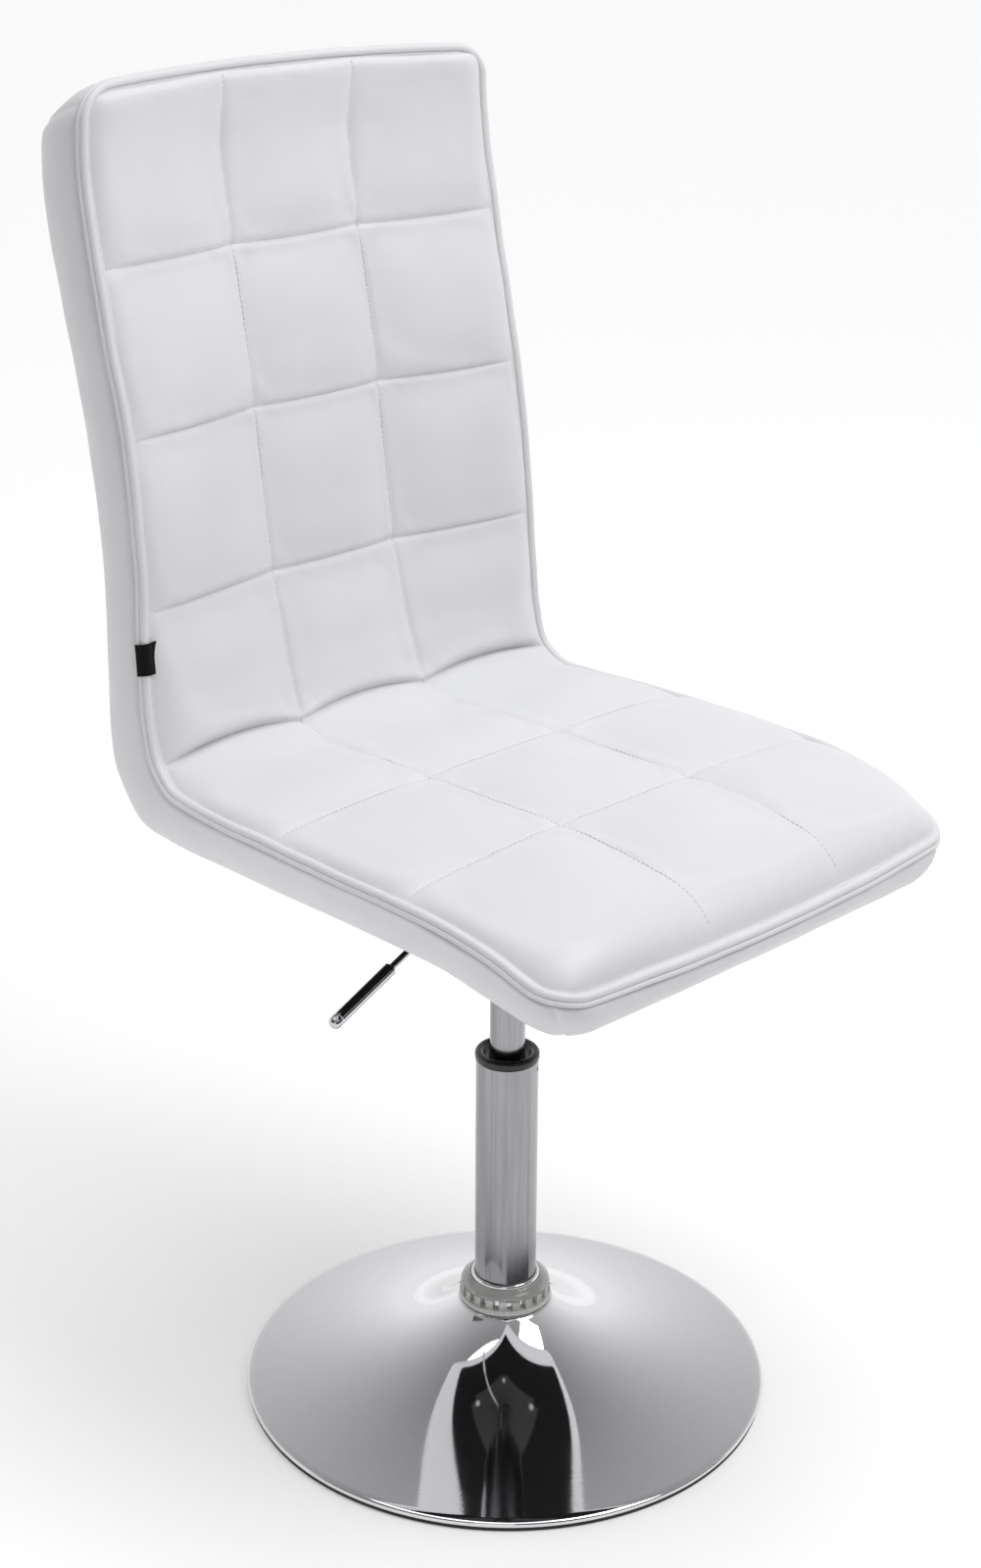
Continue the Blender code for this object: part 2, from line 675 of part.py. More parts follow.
def dust_cover(finish, parent, bolt_places):
    """A thin black sheet stapled under the seat."""
    start = float(np.interp(-0.170, -STATIONS[:, 2], KNOTS))
    end = LENGTH - 0.040
    top = (1.0, GAP, 0.0)
    under = (1.0, GAP + 0.0008, 0.0)
    rings = [(0.022, top), (0.018, top), (0.018, under), (0.022, under)]
    bm = layered_solid(rings, start, end, (0.030, 0.030))
    made = add_object("dust_cover", bm, finish, parent)
    for number, place in enumerate(bolt_places, 1):
        drill(made, f"dust_hole_{number}", place, BOLT_RADIUS + GAP, finish, parent)
    return made


def seat(finishes, parent):
    places = [(x, y) for x in (-BOLT_HALF[0], BOLT_HALF[0]) for y in (-BOLT_HALF[1], BOLT_HALF[1])]
    steel, leather = finishes["steel"], finishes["white_leather"]
    pressure_tube(finishes["chrome"], parent)
    guide = washer(ROD_RADIUS + GAP, PRESSURE_BORE - GAP, PRESSURE_BOTTOM + 0.0005, 0.2425)
    add_object("rod_guide", turned(guide, 16), steel, parent)
    mount_hub(finishes["black_steel"], parent)
    mount_plate(finishes["black_steel"], parent, places)
    for number, place in enumerate(places, 1):
        bolt(number, place, steel, parent)
        tee_nut(number, place, steel, parent)
    pin = pivot_cutter(PIVOT_RADIUS, 0.0078, parent)
    add_object("lever_pivot_pin", pin, steel, parent)
    plywood_shell(finishes["plywood"], parent, places)
    foam("back_foam", 0.0, CREASE - 0.0015, (TOP_CORNER, 0.008), finishes["foam"], parent)
    foam("seat_foam", CREASE + 0.0015, LENGTH, (0.008, FRONT_CORNER), finishes["foam"], parent)
    quilted_panel(leather, parent)
    covers(leather, parent, places)
    piping(leather, parent)
    side_tag(finishes["black_cloth"], parent)
    dust_cover(finishes["black_cloth"], parent, places)


def make_finishes():
    return {
        "chrome": material("chrome", (0.80, 0.80, 0.82), 0.08, 1.0),
        "steel": material("steel", (0.55, 0.56, 0.58), 0.35, 1.0),
        "black_steel": material("black_steel", (0.03, 0.03, 0.03), 0.45, 0.3),
        "cast_iron": material("cast_iron", (0.09, 0.09, 0.09), 0.7, 0.6),
        "rubber": material("rubber", (0.02, 0.02, 0.02), 0.8),
        "black_plastic": material("black_plastic", (0.015, 0.015, 0.016), 0.35),
        "clear_plastic": material("clear_plastic", (0.75, 0.74, 0.72), 0.2),
        "white_leather": material("white_leather", (0.84, 0.84, 0.85), 0.45),
        "plywood": material("plywood", (0.62, 0.45, 0.28), 0.6),
        "foam": material("foam", (0.85, 0.80, 0.60), 0.9),
        "black_cloth": material("black_cloth", (0.02, 0.02, 0.02), 0.9),
    }


def main():
    clear_scene()
    finishes = make_finishes()
    base = empty("base_frame", (0, 0, 0))
    turning = empty("swivel_axis", (0, 0, 0.048), base)
    carried = empty("seat_frame", (0, 0, PLATE_TOP), turning)
    levered = empty("lever_axis", lever_point(PIVOT_X), carried)
    pressed = empty("release_axis", (0, 0, PRESSURE_TOP), carried)
    base_disc(finishes["chrome"], base)
    floor_ring(finishes["rubber"], base)
    ballast_weight(finishes["cast_iron"], base)
    column(finishes, base)
    piston(finishes, turning)
    seat(finishes, carried)
    lever_rod(finishes["chrome"], levered)
    lever_grip(finishes["chrome"], levered)
    release_pin(finishes["steel"], pressed)


main()
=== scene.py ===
"""Looks of the swivel chair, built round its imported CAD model.

Metres, +Z up, the origin on the floor under the column. The seat faces -Y, and the sitter's
right hand, with the lever, is at -X.
"""

import json
import math

import bmesh
import bpy
import numpy as np
from mathutils import Matrix, Vector


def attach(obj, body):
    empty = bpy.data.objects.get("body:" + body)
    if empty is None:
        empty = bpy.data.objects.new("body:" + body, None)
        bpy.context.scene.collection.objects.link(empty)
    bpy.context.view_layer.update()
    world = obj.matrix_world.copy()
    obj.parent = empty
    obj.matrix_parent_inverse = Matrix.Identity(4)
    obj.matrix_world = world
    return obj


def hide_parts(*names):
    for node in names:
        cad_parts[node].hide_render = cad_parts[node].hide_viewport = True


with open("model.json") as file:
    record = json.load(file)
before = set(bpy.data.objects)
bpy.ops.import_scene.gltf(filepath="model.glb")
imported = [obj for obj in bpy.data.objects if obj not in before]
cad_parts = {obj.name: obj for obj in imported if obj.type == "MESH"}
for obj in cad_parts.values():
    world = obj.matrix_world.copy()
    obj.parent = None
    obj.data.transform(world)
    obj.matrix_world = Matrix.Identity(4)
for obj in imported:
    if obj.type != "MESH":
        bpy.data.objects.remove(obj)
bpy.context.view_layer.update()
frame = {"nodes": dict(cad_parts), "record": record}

# Shell: corner radii, the arch of the top edge, and the places of the quilt's seams
TOP_CORNER = 0.026
FRONT_CORNER = 0.024
TOP_ARCH = 0.005
ARCH_REACH = 0.08
SEAM_DRAWN = 0.0040
BACK_SEAM_X = 0.0635
SEAT_SEAM_X = 0.0690
# How far the sewn edge of the quilted face lies inside the shell's outline
FACE_INSET = 0.0024
# The shell from the top of the back to the front of the seat: front edge (y, z), rear or under
# face (y, z), height of the padding's middle over the edge, the padding's fullness, how far the
# middle lies behind the sides, half width at the welt, share by which the rear is narrower
STATIONS = np.array([
    (0.2300, 1.0420, 0.2870, 1.0180, 0.0000, 3.0, 0.0180, 0.1970, 0.000),
    (0.2320, 0.9960, 0.2885, 0.9810, 0.0000, 3.0, 0.0200, 0.1990, 0.000),
    (0.2150, 0.8915, 0.2710, 0.8830, 0.0000, 3.0, 0.0200, 0.2008, 0.000),
    (0.1918, 0.7850, 0.2460, 0.7780, 0.0000, 3.0, 0.0260, 0.2004, 0.000),
    (0.1812, 0.7000, 0.2345, 0.6950, 0.0000, 3.0, 0.0260, 0.2025, 0.005),
    (0.1775, 0.6236, 0.2335, 0.6120, 0.0030, 3.0, 0.0180, 0.2060, 0.020),
    (0.1739, 0.5829, 0.2355, 0.5530, 0.0060, 3.0, 0.0130, 0.2074, 0.035),
    (0.1633, 0.5500, 0.2290, 0.5170, 0.0050, 4.0, 0.0060, 0.2087, 0.050),
    (0.1451, 0.5370, 0.2070, 0.4900, 0.0070, 4.0, 0.0000, 0.2115, 0.065),
    (0.1173, 0.5338, 0.1680, 0.4825, 0.0085, 4.0, 0.0000, 0.2154, 0.080),
    (0.0727, 0.5340, 0.1000, 0.4813, 0.0090, 4.0, 0.0000, 0.2196, 0.100),
    (-0.0019, 0.5340, 0.0120, 0.4806, 0.0090, 4.0, 0.0000, 0.2230, 0.110),
    (-0.0764, 0.5331, -0.0680, 0.4800, 0.0100, 4.0, 0.0000, 0.2240, 0.110),
    (-0.1459, 0.5296, -0.1380, 0.4765, 0.0130, 4.0, 0.0000, 0.2222, 0.110),
    (-0.1999, 0.5194, -0.1890, 0.4670, 0.0160, 4.0, -0.0035, 0.2181, 0.100),
    (-0.2314, 0.5067, -0.2240, 0.4625, 0.0150, 4.0, -0.0090, 0.2140, 0.090),
    (-0.2540, 0.5005, -0.2490, 0.4650, 0.0000, 4.0, -0.0155, 0.2100, 0.085),
])
STEPS = np.linalg.norm(np.diff(STATIONS[:, :2], axis=0), axis=1)
KNOTS = np.concatenate([[0.0], np.cumsum(STEPS)])
SLOPES = np.gradient(STATIONS, KNOTS, axis=0)
LENGTH = KNOTS[-1]


def down_from_height(z):
    """Distance down the front face of a point at height z on the back."""
    return float(np.interp(-z, -STATIONS[:9, 1], KNOTS[:9]))


def down_from_depth(y):
    """Distance down the front face of a point at y on the seat."""
    return float(np.interp(-y, -STATIONS[7:, 0], KNOTS[7:]))


CREASE = KNOTS[7] + 0.002
ROW_SEAMS = [down_from_height(z) for z in (0.912, 0.791, 0.665)]
ROW_SEAMS += [CREASE, down_from_depth(0.0203), down_from_depth(-0.1168)]


# Meshes


def placed(name, data):
    """A new object of a mesh, light or camera, in the scene."""
    made = bpy.data.objects.new(name, data)
    bpy.context.scene.collection.objects.link(made)
    return made


def link(name, mesh, finish, body):
    """Makes a smooth piece that rides on a CAD body."""
    mesh.materials.append(finish)
    mesh.shade_smooth()
    made = placed(name, mesh)
    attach(made, body)
    return made


def mesh_of(name, points, faces):
    """A mesh of points and of faces given by their corners' numbers."""
    mesh = bpy.data.meshes.new(name)
    mesh.from_pydata([tuple(p) for p in points], [], [tuple(f) for f in faces])
    mesh.validate()
    mesh.update()
    return mesh


def skin(name, points, faces, finish, body):
    """A smooth piece of points and faces, with every face turned to look outwards."""
    mesh = mesh_of(name, points, faces)
    bm = bmesh.new()
    bm.from_mesh(mesh)
    bmesh.ops.recalc_face_normals(bm, faces=bm.faces)
    bm.to_mesh(mesh)
    bm.free()
    return link(name, mesh, finish, body)


def unit(vectors):
    """Vectors brought to length one."""
    return vectors / np.linalg.norm(vectors, axis=-1, keepdims=True)


def grid_faces(rows, columns, first=0):
    """Quads of a grid of points stored row by row."""
    i = np.arange(rows - 1)[:, None]
    j = np.arange(columns - 1)[None, :]
    a = first + i * columns + j
    b = a + columns
    return np.stack([a, a + 1, b + 1, b], axis=-1).reshape(-1, 4)


def between(ring, other):
    """Quads between two closed rings of point numbers."""
    return np.stack([ring, np.roll(ring, -1), np.roll(other, -1), other], axis=1)


def turned(name, outline, segments, finish, body, sharp=40.0):
    """A piece turned about Z from an outline of (radius, z). Closed unless it ends on the axis."""
    on_axis = outline[0][0] == 0 and outline[-1][0] == 0
    profile = bmesh.new()
    points = [profile.verts.new((r, 0, z)) for r, z in outline]
    for a, b in zip(points, points[1:]):
        profile.edges.new((a, b))
    if not on_axis:
        profile.edges.new((points[-1], points[0]))
    bmesh.ops.spin(
        profile, geom=profile.verts[:] + profile.edges[:], cent=(0, 0, 0), axis=(0, 0, 1),
        angle=2 * math.pi, steps=segments, use_merge=True, use_duplicate=False,
    )
    bmesh.ops.remove_doubles(profile, verts=profile.verts, dist=1e-6)
    bmesh.ops.recalc_face_normals(profile, faces=profile.faces)
    mesh = bpy.data.meshes.new(name)
    profile.to_mesh(mesh)
    profile.free()
    made = link(name, mesh, finish, body)
    mesh.set_sharp_from_angle(angle=math.radians(sharp))
    return made


def rounded(points, radius):
    """An outline whose corners, but for both ends, are rounded off by up to the radius."""
    made = [points[0]]
    for before, here, after in zip(points, points[1:], points[2:]):
        here, before, after = Vector(here), Vector(before), Vector(after)
        reach = min(radius, (before - here).length / 2.1, (after - here).length / 2.1)
        start = here + (before - here).normalized() * reach
        end = here + (after - here).normalized() * reach
        for t in (0, 1 / 3, 2 / 3, 1):
            made.append(tuple(start * (1 - t) ** 2 + here * 2 * t * (1 - t) + end * t**2))
    made.append(points[-1])
    return made


def tube_along(name, route, radius, finish, body, sides):
    """A round cord along a closed route of points, swept with parallel frames."""
    count = len(route)
    tangent = unit(np.roll(route, -1, axis=0) - np.roll(route, 1, axis=0))
    normals = np.zeros_like(route)
    normal = np.cross(tangent[0], (0.3, 0.5, 0.81))
    for k in range(count):
        normal = unit(normal - tangent[k] * (normal @ tangent[k]))
        normals[k] = normal
    normals = untwisted(normals, tangent)
    binormals = np.cross(tangent, normals)
    angle = np.linspace(0, 2 * np.pi, sides, endpoint=False)[None, :, None]
    ring = np.cos(angle) * normals[:, None] + np.sin(angle) * binormals[:, None]
    points = (route[:, None] + ring * radius).reshape(-1, 3)
    rings = np.arange(count * sides).reshape(count, sides)
    faces = np.vstack([between(rings[k - 1], rings[k]) for k in range(count)])
    return skin(name, points, faces, finish, body)


def untwisted(normals, tangent):
    """Spreads the turn left over at the end of a closed route evenly along it."""
    last, first = normals[-1], normals[0]
    left = unit(first - tangent[-1] * (first @ tangent[-1]))
    angle = math.atan2(np.cross(last, left) @ tangent[-1], last @ left)
    share = np.linspace(0, angle, len(normals))[:, None]
    return normals * np.cos(share) + np.cross(tangent, normals) * np.sin(share)


# Shell surface

EVEN_COLUMNS = np.linspace(-1, 1, 97)


def station(s):
    """Rows of STATIONS read smoothly at distances s, and carried on straight past the ends."""
    s = np.asarray(s, float)
    inside = np.clip(s, 0, LENGTH)
    i = np.clip(np.searchsorted(KNOTS, inside, side="right") - 1, 0, len(KNOTS) - 2)
    step = (KNOTS[i + 1] - KNOTS[i])[..., None]
    t = (inside - KNOTS[i])[..., None] / step
    value = (2 * t**3 - 3 * t**2 + 1) * STATIONS[i] + (t**3 - 2 * t**2 + t) * step * SLOPES[i]
    value += (3 * t**2 - 2 * t**3) * STATIONS[i + 1] + (t**3 - t**2) * step * SLOPES[i + 1]
    beyond = (s - inside)[..., None]
    ends = np.where(beyond < 0, SLOPES[0], SLOPES[-1]) * (1, 1, 1, 1, 0, 0, 0, 0, 0)
    return value + ends * beyond


def half_width(s):
    """Half the shell's width at the welt."""
    return station(s)[..., 7]


def bent(x, s, share, offset):
    """Places of points x across and s down the shell, at a share of its depth plus an offset."""
    arch = TOP_ARCH * (x / STATIONS[0, 7]) ** 2 * np.clip(1 - s / ARCH_REACH, 0, 1.3)
    values = station(s + arch)
    front, across = values[..., 0:2], values[..., 2:4] - values[..., 0:2]
    bow, half, taper = values[..., 6], values[..., 7], values[..., 8]
    depth = np.linalg.norm(across, axis=-1)
    place = front + unit(across) * (share * depth + offset)[..., None]
    bow = bow * (1 - share) * (1 - np.minimum(np.abs(x / half), 1) ** 2)
    return np.stack([x * (1 - taper * share), place[..., 0] + bow, place[..., 1]], axis=-1)


def arc_rows(inset, arcs, middles):
    """Rows of the outline drawn in by inset: the s and the half width of each, round both corners."""
    low, high = inset, LENGTH - inset
    first, last = max(TOP_CORNER - inset, 0.0005), max(FRONT_CORNER - inset, 0.0005)
    turn = np.linspace(0, 0.5 * np.pi, arcs)
    sides = low + first + (high - last - low - first) * middles
    upper, lower = low + first * (1 - np.cos(turn)), high - last * (1 - np.cos(turn[::-1]))
    s = np.concatenate([upper, sides, lower])
    cut_off = np.concatenate([first * (1 - np.sin(turn)), 0 * sides, last * (1 - np.sin(turn[::-1]))])
    return s, half_width(s) - inset - cut_off


def sheet_grid(inset, columns, arcs=14, middles=None):
    """Arrays x and s of a grid over the outline's inside. Columns run from -1 to 1."""
    middles = np.linspace(0, 1, 262)[1:-1] if middles is None else middles
    s, width = arc_rows(inset, arcs, middles)
    return columns[None, :] * width[:, None], np.repeat(s[:, None], len(columns), axis=1)


def rim_of(grid):
    """The outer points of a grid array, once round."""
    return np.concatenate([grid[0], grid[1:, -1], grid[-1, -2::-1], grid[-2:0:-1, 0]])


def rim_at(inset):
    """Arrays x and s once round the outline drawn in by inset."""
    return [rim_of(grid) for grid in sheet_grid(inset, EVEN_COLUMNS)]


def smooth_noise(u, v, seed):
    """Soft irregular waves between -1 and 1 over two coordinates, the same on each run."""
    turns = np.random.default_rng(seed)
    total = np.zeros(np.broadcast(u, v).shape)
    for _ in range(7):
        a, b, phase = turns.uniform(-1, 1), turns.uniform(-1, 1), turns.uniform(0, 2 * np.pi)
        total += np.sin(2 * np.pi * (a * u + b * v) + phase)
    return total / 4.5


# Cushioned front panel


def crown_at(x, s):
    """Height of the padding over the welt's plane, before the quilting."""
    values = station(s)
    return values[..., 4] * (1 - np.abs(x / values[..., 7]) ** values[..., 5])


def from_edge(x, s):
    """Distance in from the face's outline, round its corners too."""
    side, end = half_width(s) - np.abs(x), np.minimum(s, LENGTH - s)
    radius = np.where(s < CREASE, TOP_CORNER, FRONT_CORNER)
    round_corner = radius - np.hypot(radius - side, radius - end)
    return np.where((side < radius) & (end < radius), round_corner, np.minimum(side, end))


def eased(s, start, end, first, second):
    """Goes smoothly from first to second between two distances."""
    t = np.clip((s - start) / (end - start), 0, 1)
    return first + (second - first) * t * t * (3 - 2 * t)


def seam_x(s):
    """Where the two lengthwise seams run: a little further apart on the seat."""
    return eased(s, CREASE - 0.12, CREASE + 0.12, BACK_SEAM_X, SEAT_SEAM_X)


def across_cell(x, s):
    """Place across the quilt's cell, from -1 to 1, growing outwards in the outer columns."""
    seam = seam_x(s)
    edge = half_width(s) - 0.004
    outer = (2 * np.abs(x) - seam - edge) / (edge - seam)
    return np.clip(np.where(np.abs(x) < seam, x / seam, outer), -1, 1)


def row_arcs(x, s):
    """How far up the row seams arch in each column: most at the crease, where the seat bulges."""
    arch = 1 - across_cell(x, s) ** 2
    at_crease = np.exp(-(((s - CREASE) / 0.035) ** 2))
    on_back = np.clip((CREASE - 0.04 - s) / 0.04, 0, 1)
    return arch * (0.0075 * at_crease - 0.0018 * on_back)


def within_cells(x, s):
    """Place in the quilt's cell, from -1 to 1 both ways, and distances to the nearest seams."""
    lines = np.array([0.004, *ROW_SEAMS, LENGTH - 0.004])
    i = np.clip(np.searchsorted(lines, s) - 1, 0, len(lines) - 2)
    down = (2 * s - lines[i] - lines[i + 1]) / (lines[i + 1] - lines[i])
    to_column = np.abs(np.abs(x) - seam_x(s))
    to_row = np.abs(s[..., None] - np.array(ROW_SEAMS)).min(axis=-1)
    return across_cell(x, s), np.clip(down, -1, 1), to_column, to_row, i


def blended(s, back, seat):
    """Goes from the back's value to the seat's round the crease."""
    return eased(s, CREASE - 0.010, CREASE + 0.010, back, seat)


def quilt_height(x, s):
    """How far the quilted face stands in front of the welt's plane."""
    crown, edge = crown_at(x, s), from_edge(x, s)
    s = s + row_arcs(x, s)
    across, down, to_column, to_row, row = within_cells(x, s)
    fade = np.clip((LENGTH - 0.012 - s) / 0.06, 0, 1) * np.clip((s - 0.004) / 0.05, 0, 1)
    inward = np.clip((edge - 0.006) / 0.030, 0, 1)
    side = (1 - np.abs(across) ** 2.6) ** 0.9
    side = 1 - (1 - side) * (0.25 + 0.75 * fade)
    outer = (np.abs(x) > seam_x(s)) & (across > 0)
    side = np.where(outer, 1 - np.abs(across) ** 5, side)
    height = crown + blended(s, 0.0100, 0.0074) * (side * row_profile(s, down, row)) ** 0.9
    groove = blended(s, 0.0015, 0.0003) * np.exp(-((to_row / 0.0022) ** 2)) * inward
    groove += blended(s, 0.0008, 0.0003) * np.exp(-((to_column / 0.0020) ** 2)) * fade
    groove += 0.0018 * np.exp(-((np.hypot(to_column, to_row) / 0.011) ** 1.5)) * fade
    groove += 0.0032 * inward * np.exp(-(((s - CREASE) / 0.0020) ** 2))
    lift = 0.0046 * (1 - np.exp(-np.clip(edge - 0.004, 0, 1) / 0.007))
    return height - groove + lift + puckers(x, s, edge, to_column, to_row)


def row_profile(s, down, row):
    """Rise of a cell between its upper and lower seams: abrupt at the crease and at both ends."""
    hanging = np.where(s < CREASE, 0.22, 0.0) * (1 - down**2)
    rise = (1 - np.abs(down - hanging) ** 2.8) ** 0.9
    abrupt = ((row == 0) & (down < 0)) | ((row == 6) & (down > 0))
    abrupt = abrupt | ((row == 3) & (down > 0)) | ((row == 4) & (down < 0))
    return np.where(abrupt, 1 - np.abs(down) ** 16, rise)


def puckers(x, s, edge, to_column, to_row):
    """Small gathers where the stitches pull the cover in, and broad unevenness in the cells."""
    gathers = 0.00040 * np.exp(-to_row / 0.010) * smooth_noise(x / 0.016, s / 0.09, 3)
    gathers += 0.00040 * np.exp(-to_column / 0.008) * smooth_noise(s / 0.013, x / 0.09, 5)
    crossing = np.hypot(to_column, to_row)
    gathers += 0.00080 * np.exp(-crossing / 0.014) * smooth_noise(x / 0.014, s / 0.014, 9)
    along = np.where(half_width(s) - np.abs(x) < 0.02, s, x)
    gathers += 0.00035 * np.exp(-edge / 0.012) * smooth_noise(along / 0.012, edge / 0.05, 8)
    return gathers + 0.0008 * smooth_noise(x / 0.11, s / 0.13, 11)


def lines_between(marks, steps):
    """Points from mark to mark, closer together near each mark."""
    made = []
    for a, b, n in zip(marks, marks[1:], steps):
        t = np.linspace(0, 1, n + 1)[:-1]
        eased = 0.45 * t + 0.55 * (0.5 - 0.5 * np.cos(np.pi * t))
        made.append(a + (b - a) * eased)
    return np.concatenate([*made, [marks[-1]]])


def quilt_rows():
    """Middle rows between the two corner arcs, as shares of the straight part."""
    low, high = TOP_CORNER, LENGTH - FRONT_CORNER
    marks = [low, *ROW_SEAMS, high]
    steps = [max(8, int((b - a) / 0.0024)) for a, b in zip(marks, marks[1:])]
    return (lines_between(marks, steps)[1:-1] - low) / (high - low)


def quilt_grid():
    """Arrays x and s of the quilted face's points, whose lines follow all the seams."""
    seam, reach, across = 0.32, 0.25, 52
    columns = lines_between([-1, -seam, seam, 1], [across] * 3)
    x, s = sheet_grid(FACE_INSET, columns, 12, quilt_rows())
    half = half_width(s)
    pull = (seam_x(s) - seam * half) * np.clip(1 - np.abs(np.abs(x) / half - seam) / reach, 0, 1)
    x = x + np.sign(x) * pull
    return x, s - row_arcs(x, s)


# The cloth trial: every third line of the quilted face, its last frame, and the furthest move
COARSE = 3
LAST_FRAME = 20
FURTHEST_MOVE = 0.0025


def settle_cloth(x, s):
    """Inflates a coarser copy of the cover, pinned along its seams, and returns how far it moved."""
    coarse_x, coarse_s = x[::COARSE, ::COARSE], s[::COARSE, ::COARSE]
    start = bent(coarse_x, coarse_s, 0, -quilt_height(coarse_x, coarse_s))
    rows, columns = coarse_x.shape
    mesh = mesh_of("cloth_trial", start.reshape(-1, 3), grid_faces(rows, columns))
    trial = placed("cloth_trial", mesh)
    *_, to_column, to_row, _ = within_cells(coarse_x, coarse_s + row_arcs(coarse_x, coarse_s))
    edge = from_edge(coarse_x, coarse_s)
    pinned = (to_column < 0.0025) | (to_row < 0.0025) | (edge < 0.006)
    group = trial.vertex_groups.new(name="pinned")
    group.add([int(k) for k in np.flatnonzero(pinned.ravel())], 1.0, "REPLACE")
    cloth = trial.modifiers.new("cloth", "CLOTH")
    cloth.settings.vertex_group_mass = "pinned"
    cloth.settings.use_pressure = True
    cloth.settings.uniform_pressure_force = 3.0
    cloth.settings.tension_stiffness = 40
    cloth.settings.bending_stiffness = 5.0
    cloth.settings.shrink_min = -0.002
    cloth.settings.effector_weights.gravity = 0
    cloth.point_cache.frame_end = LAST_FRAME
    for number in range(1, LAST_FRAME + 1):
        bpy.context.scene.frame_set(number)
    graph = bpy.context.evaluated_depsgraph_get()
    result = trial.evaluated_get(graph).to_mesh()
    end = np.empty(len(result.vertices) * 3, np.float32)
    result.vertices.foreach_get("co", end)
    bpy.context.scene.frame_set(1)
    bpy.data.objects.remove(trial)
    bpy.data.meshes.remove(mesh)
    moved = end.reshape(rows, columns, 3) - start
    length = np.linalg.norm(moved, axis=-1, keepdims=True)
    return moved * np.minimum(1, FURTHEST_MOVE / np.maximum(length, 1e-9))


def spread_over(moved, shape):
    """Brings a coarse field of movements to the fine grid, smoothed."""
    rows = np.clip(np.arange(shape[0]) / COARSE, 0, moved.shape[0] - 1)
    columns = np.clip(np.arange(shape[1]) / COARSE, 0, moved.shape[1] - 1)
    a, b = np.floor(rows).astype(int), np.floor(columns).astype(int)
    a2, b2 = np.minimum(a + 1, moved.shape[0] - 1), np.minimum(b + 1, moved.shape[1] - 1)
    u, v = (rows - a)[:, None, None], (columns - b)[None, :, None]
    field = (moved[a][:, b] * (1 - v) + moved[a][:, b2] * v) * (1 - u)
    field = field + (moved[a2][:, b] * (1 - v) + moved[a2][:, b2] * v) * u
    for _ in range(6):
        field[1:-1] = 0.25 * field[:-2] + 0.5 * field[1:-1] + 0.25 * field[2:]
        field[:, 1:-1] = 0.25 * field[:, :-2] + 0.5 * field[:, 1:-1] + 0.25 * field[:, 2:]
    return field


def cushion(finish):
    """The padded quilted face and the foam behind it, down to the board, as one closed body."""
    x, s = quilt_grid()
    points = bent(x, s, 0, -quilt_height(x, s))
    points = points + spread_over(settle_cloth(x, s), x.shape)
    rows, columns = x.shape
    total = rows * columns
    rim = rim_of(np.arange(total).reshape(rows, columns))
    lower = total + np.arange(len(rim))
    under = bent(rim_of(x) * 0.985, rim_of(s), 1, -0.0160)
    skirt = between(rim, lower)
    right = lower[columns - 1:columns + rows - 1]
    left = np.concatenate([lower[:1], lower[:-(rows - 1):-1], lower[-(rows - 1):][:1]])
    strips = [(left[k], right[k], right[k + 1], left[k + 1]) for k in range(1, rows - 2)]
    ends = [[*lower[:columns], right[1], left[1]]]
    ends.append([*lower[columns + rows - 2:2 * columns + rows - 2], left[rows - 2], right[rows - 2]])
    faces = [*grid_faces(rows, columns), *skirt, *strips, *ends]
    made = skin("cushion", [*points.reshape(-1, 3), *under], faces, finish, "seat")
    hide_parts("quilted_panel", "seat_foam", "back_foam")


# Welt, bands and rear cover

# Inset from the outline where the side strips end and the rear cover begins
BAND_ENDS_AT = 0.0040
WELT_WAVE = 0.0006
# Stitches: how far they lie over the face, then pitch, length and radius of each kind
THREAD_LIFT = 0.0001
QUILT_STITCH = (0.0042, 0.0031, 0.00042)
WELT_STITCH = (0.0040, 0.0029, 0.00050)


def profile_rings():
    """The boxing from the welt round to the rear face: inset, share of the depth, offset."""
    corners = np.array([
        (0.0012, 0.00, 0.0046),
        (-0.0040, 0.10, 0.0026),
        (-0.0062, 0.28, 0.0000),
        (-0.0068, 0.46, 0.0000),
        (-0.0052, 0.66, 0.0000),
        (-0.0018, 0.84, 0.0000),
        (0.0036, 0.955, 0.0000),
        (0.0110, 0.995, 0.0000),
        (0.0200, 1.00, 0.0000),
    ])
    fine = np.linspace(0, len(corners) - 1, 33)
    return np.stack([catmull(corners[:, k], fine) for k in range(3)], axis=1)


def catmull(values, at):
    """A smooth curve through values that stand at 0, 1, 2 and so on."""
    i = np.clip(at.astype(int), 0, len(values) - 2)
    t = at - i
    before, after = np.maximum(i - 1, 0), np.minimum(i + 2, len(values) - 1)
    a, b, c, d = values[before], values[i], values[i + 1], values[after]
    square, cube = 2 * a - 5 * b + 4 * c - d, 3 * b - a - 3 * c + d
    return 0.5 * (2 * b + (c - a) * t + square * t**2 + cube * t**3)


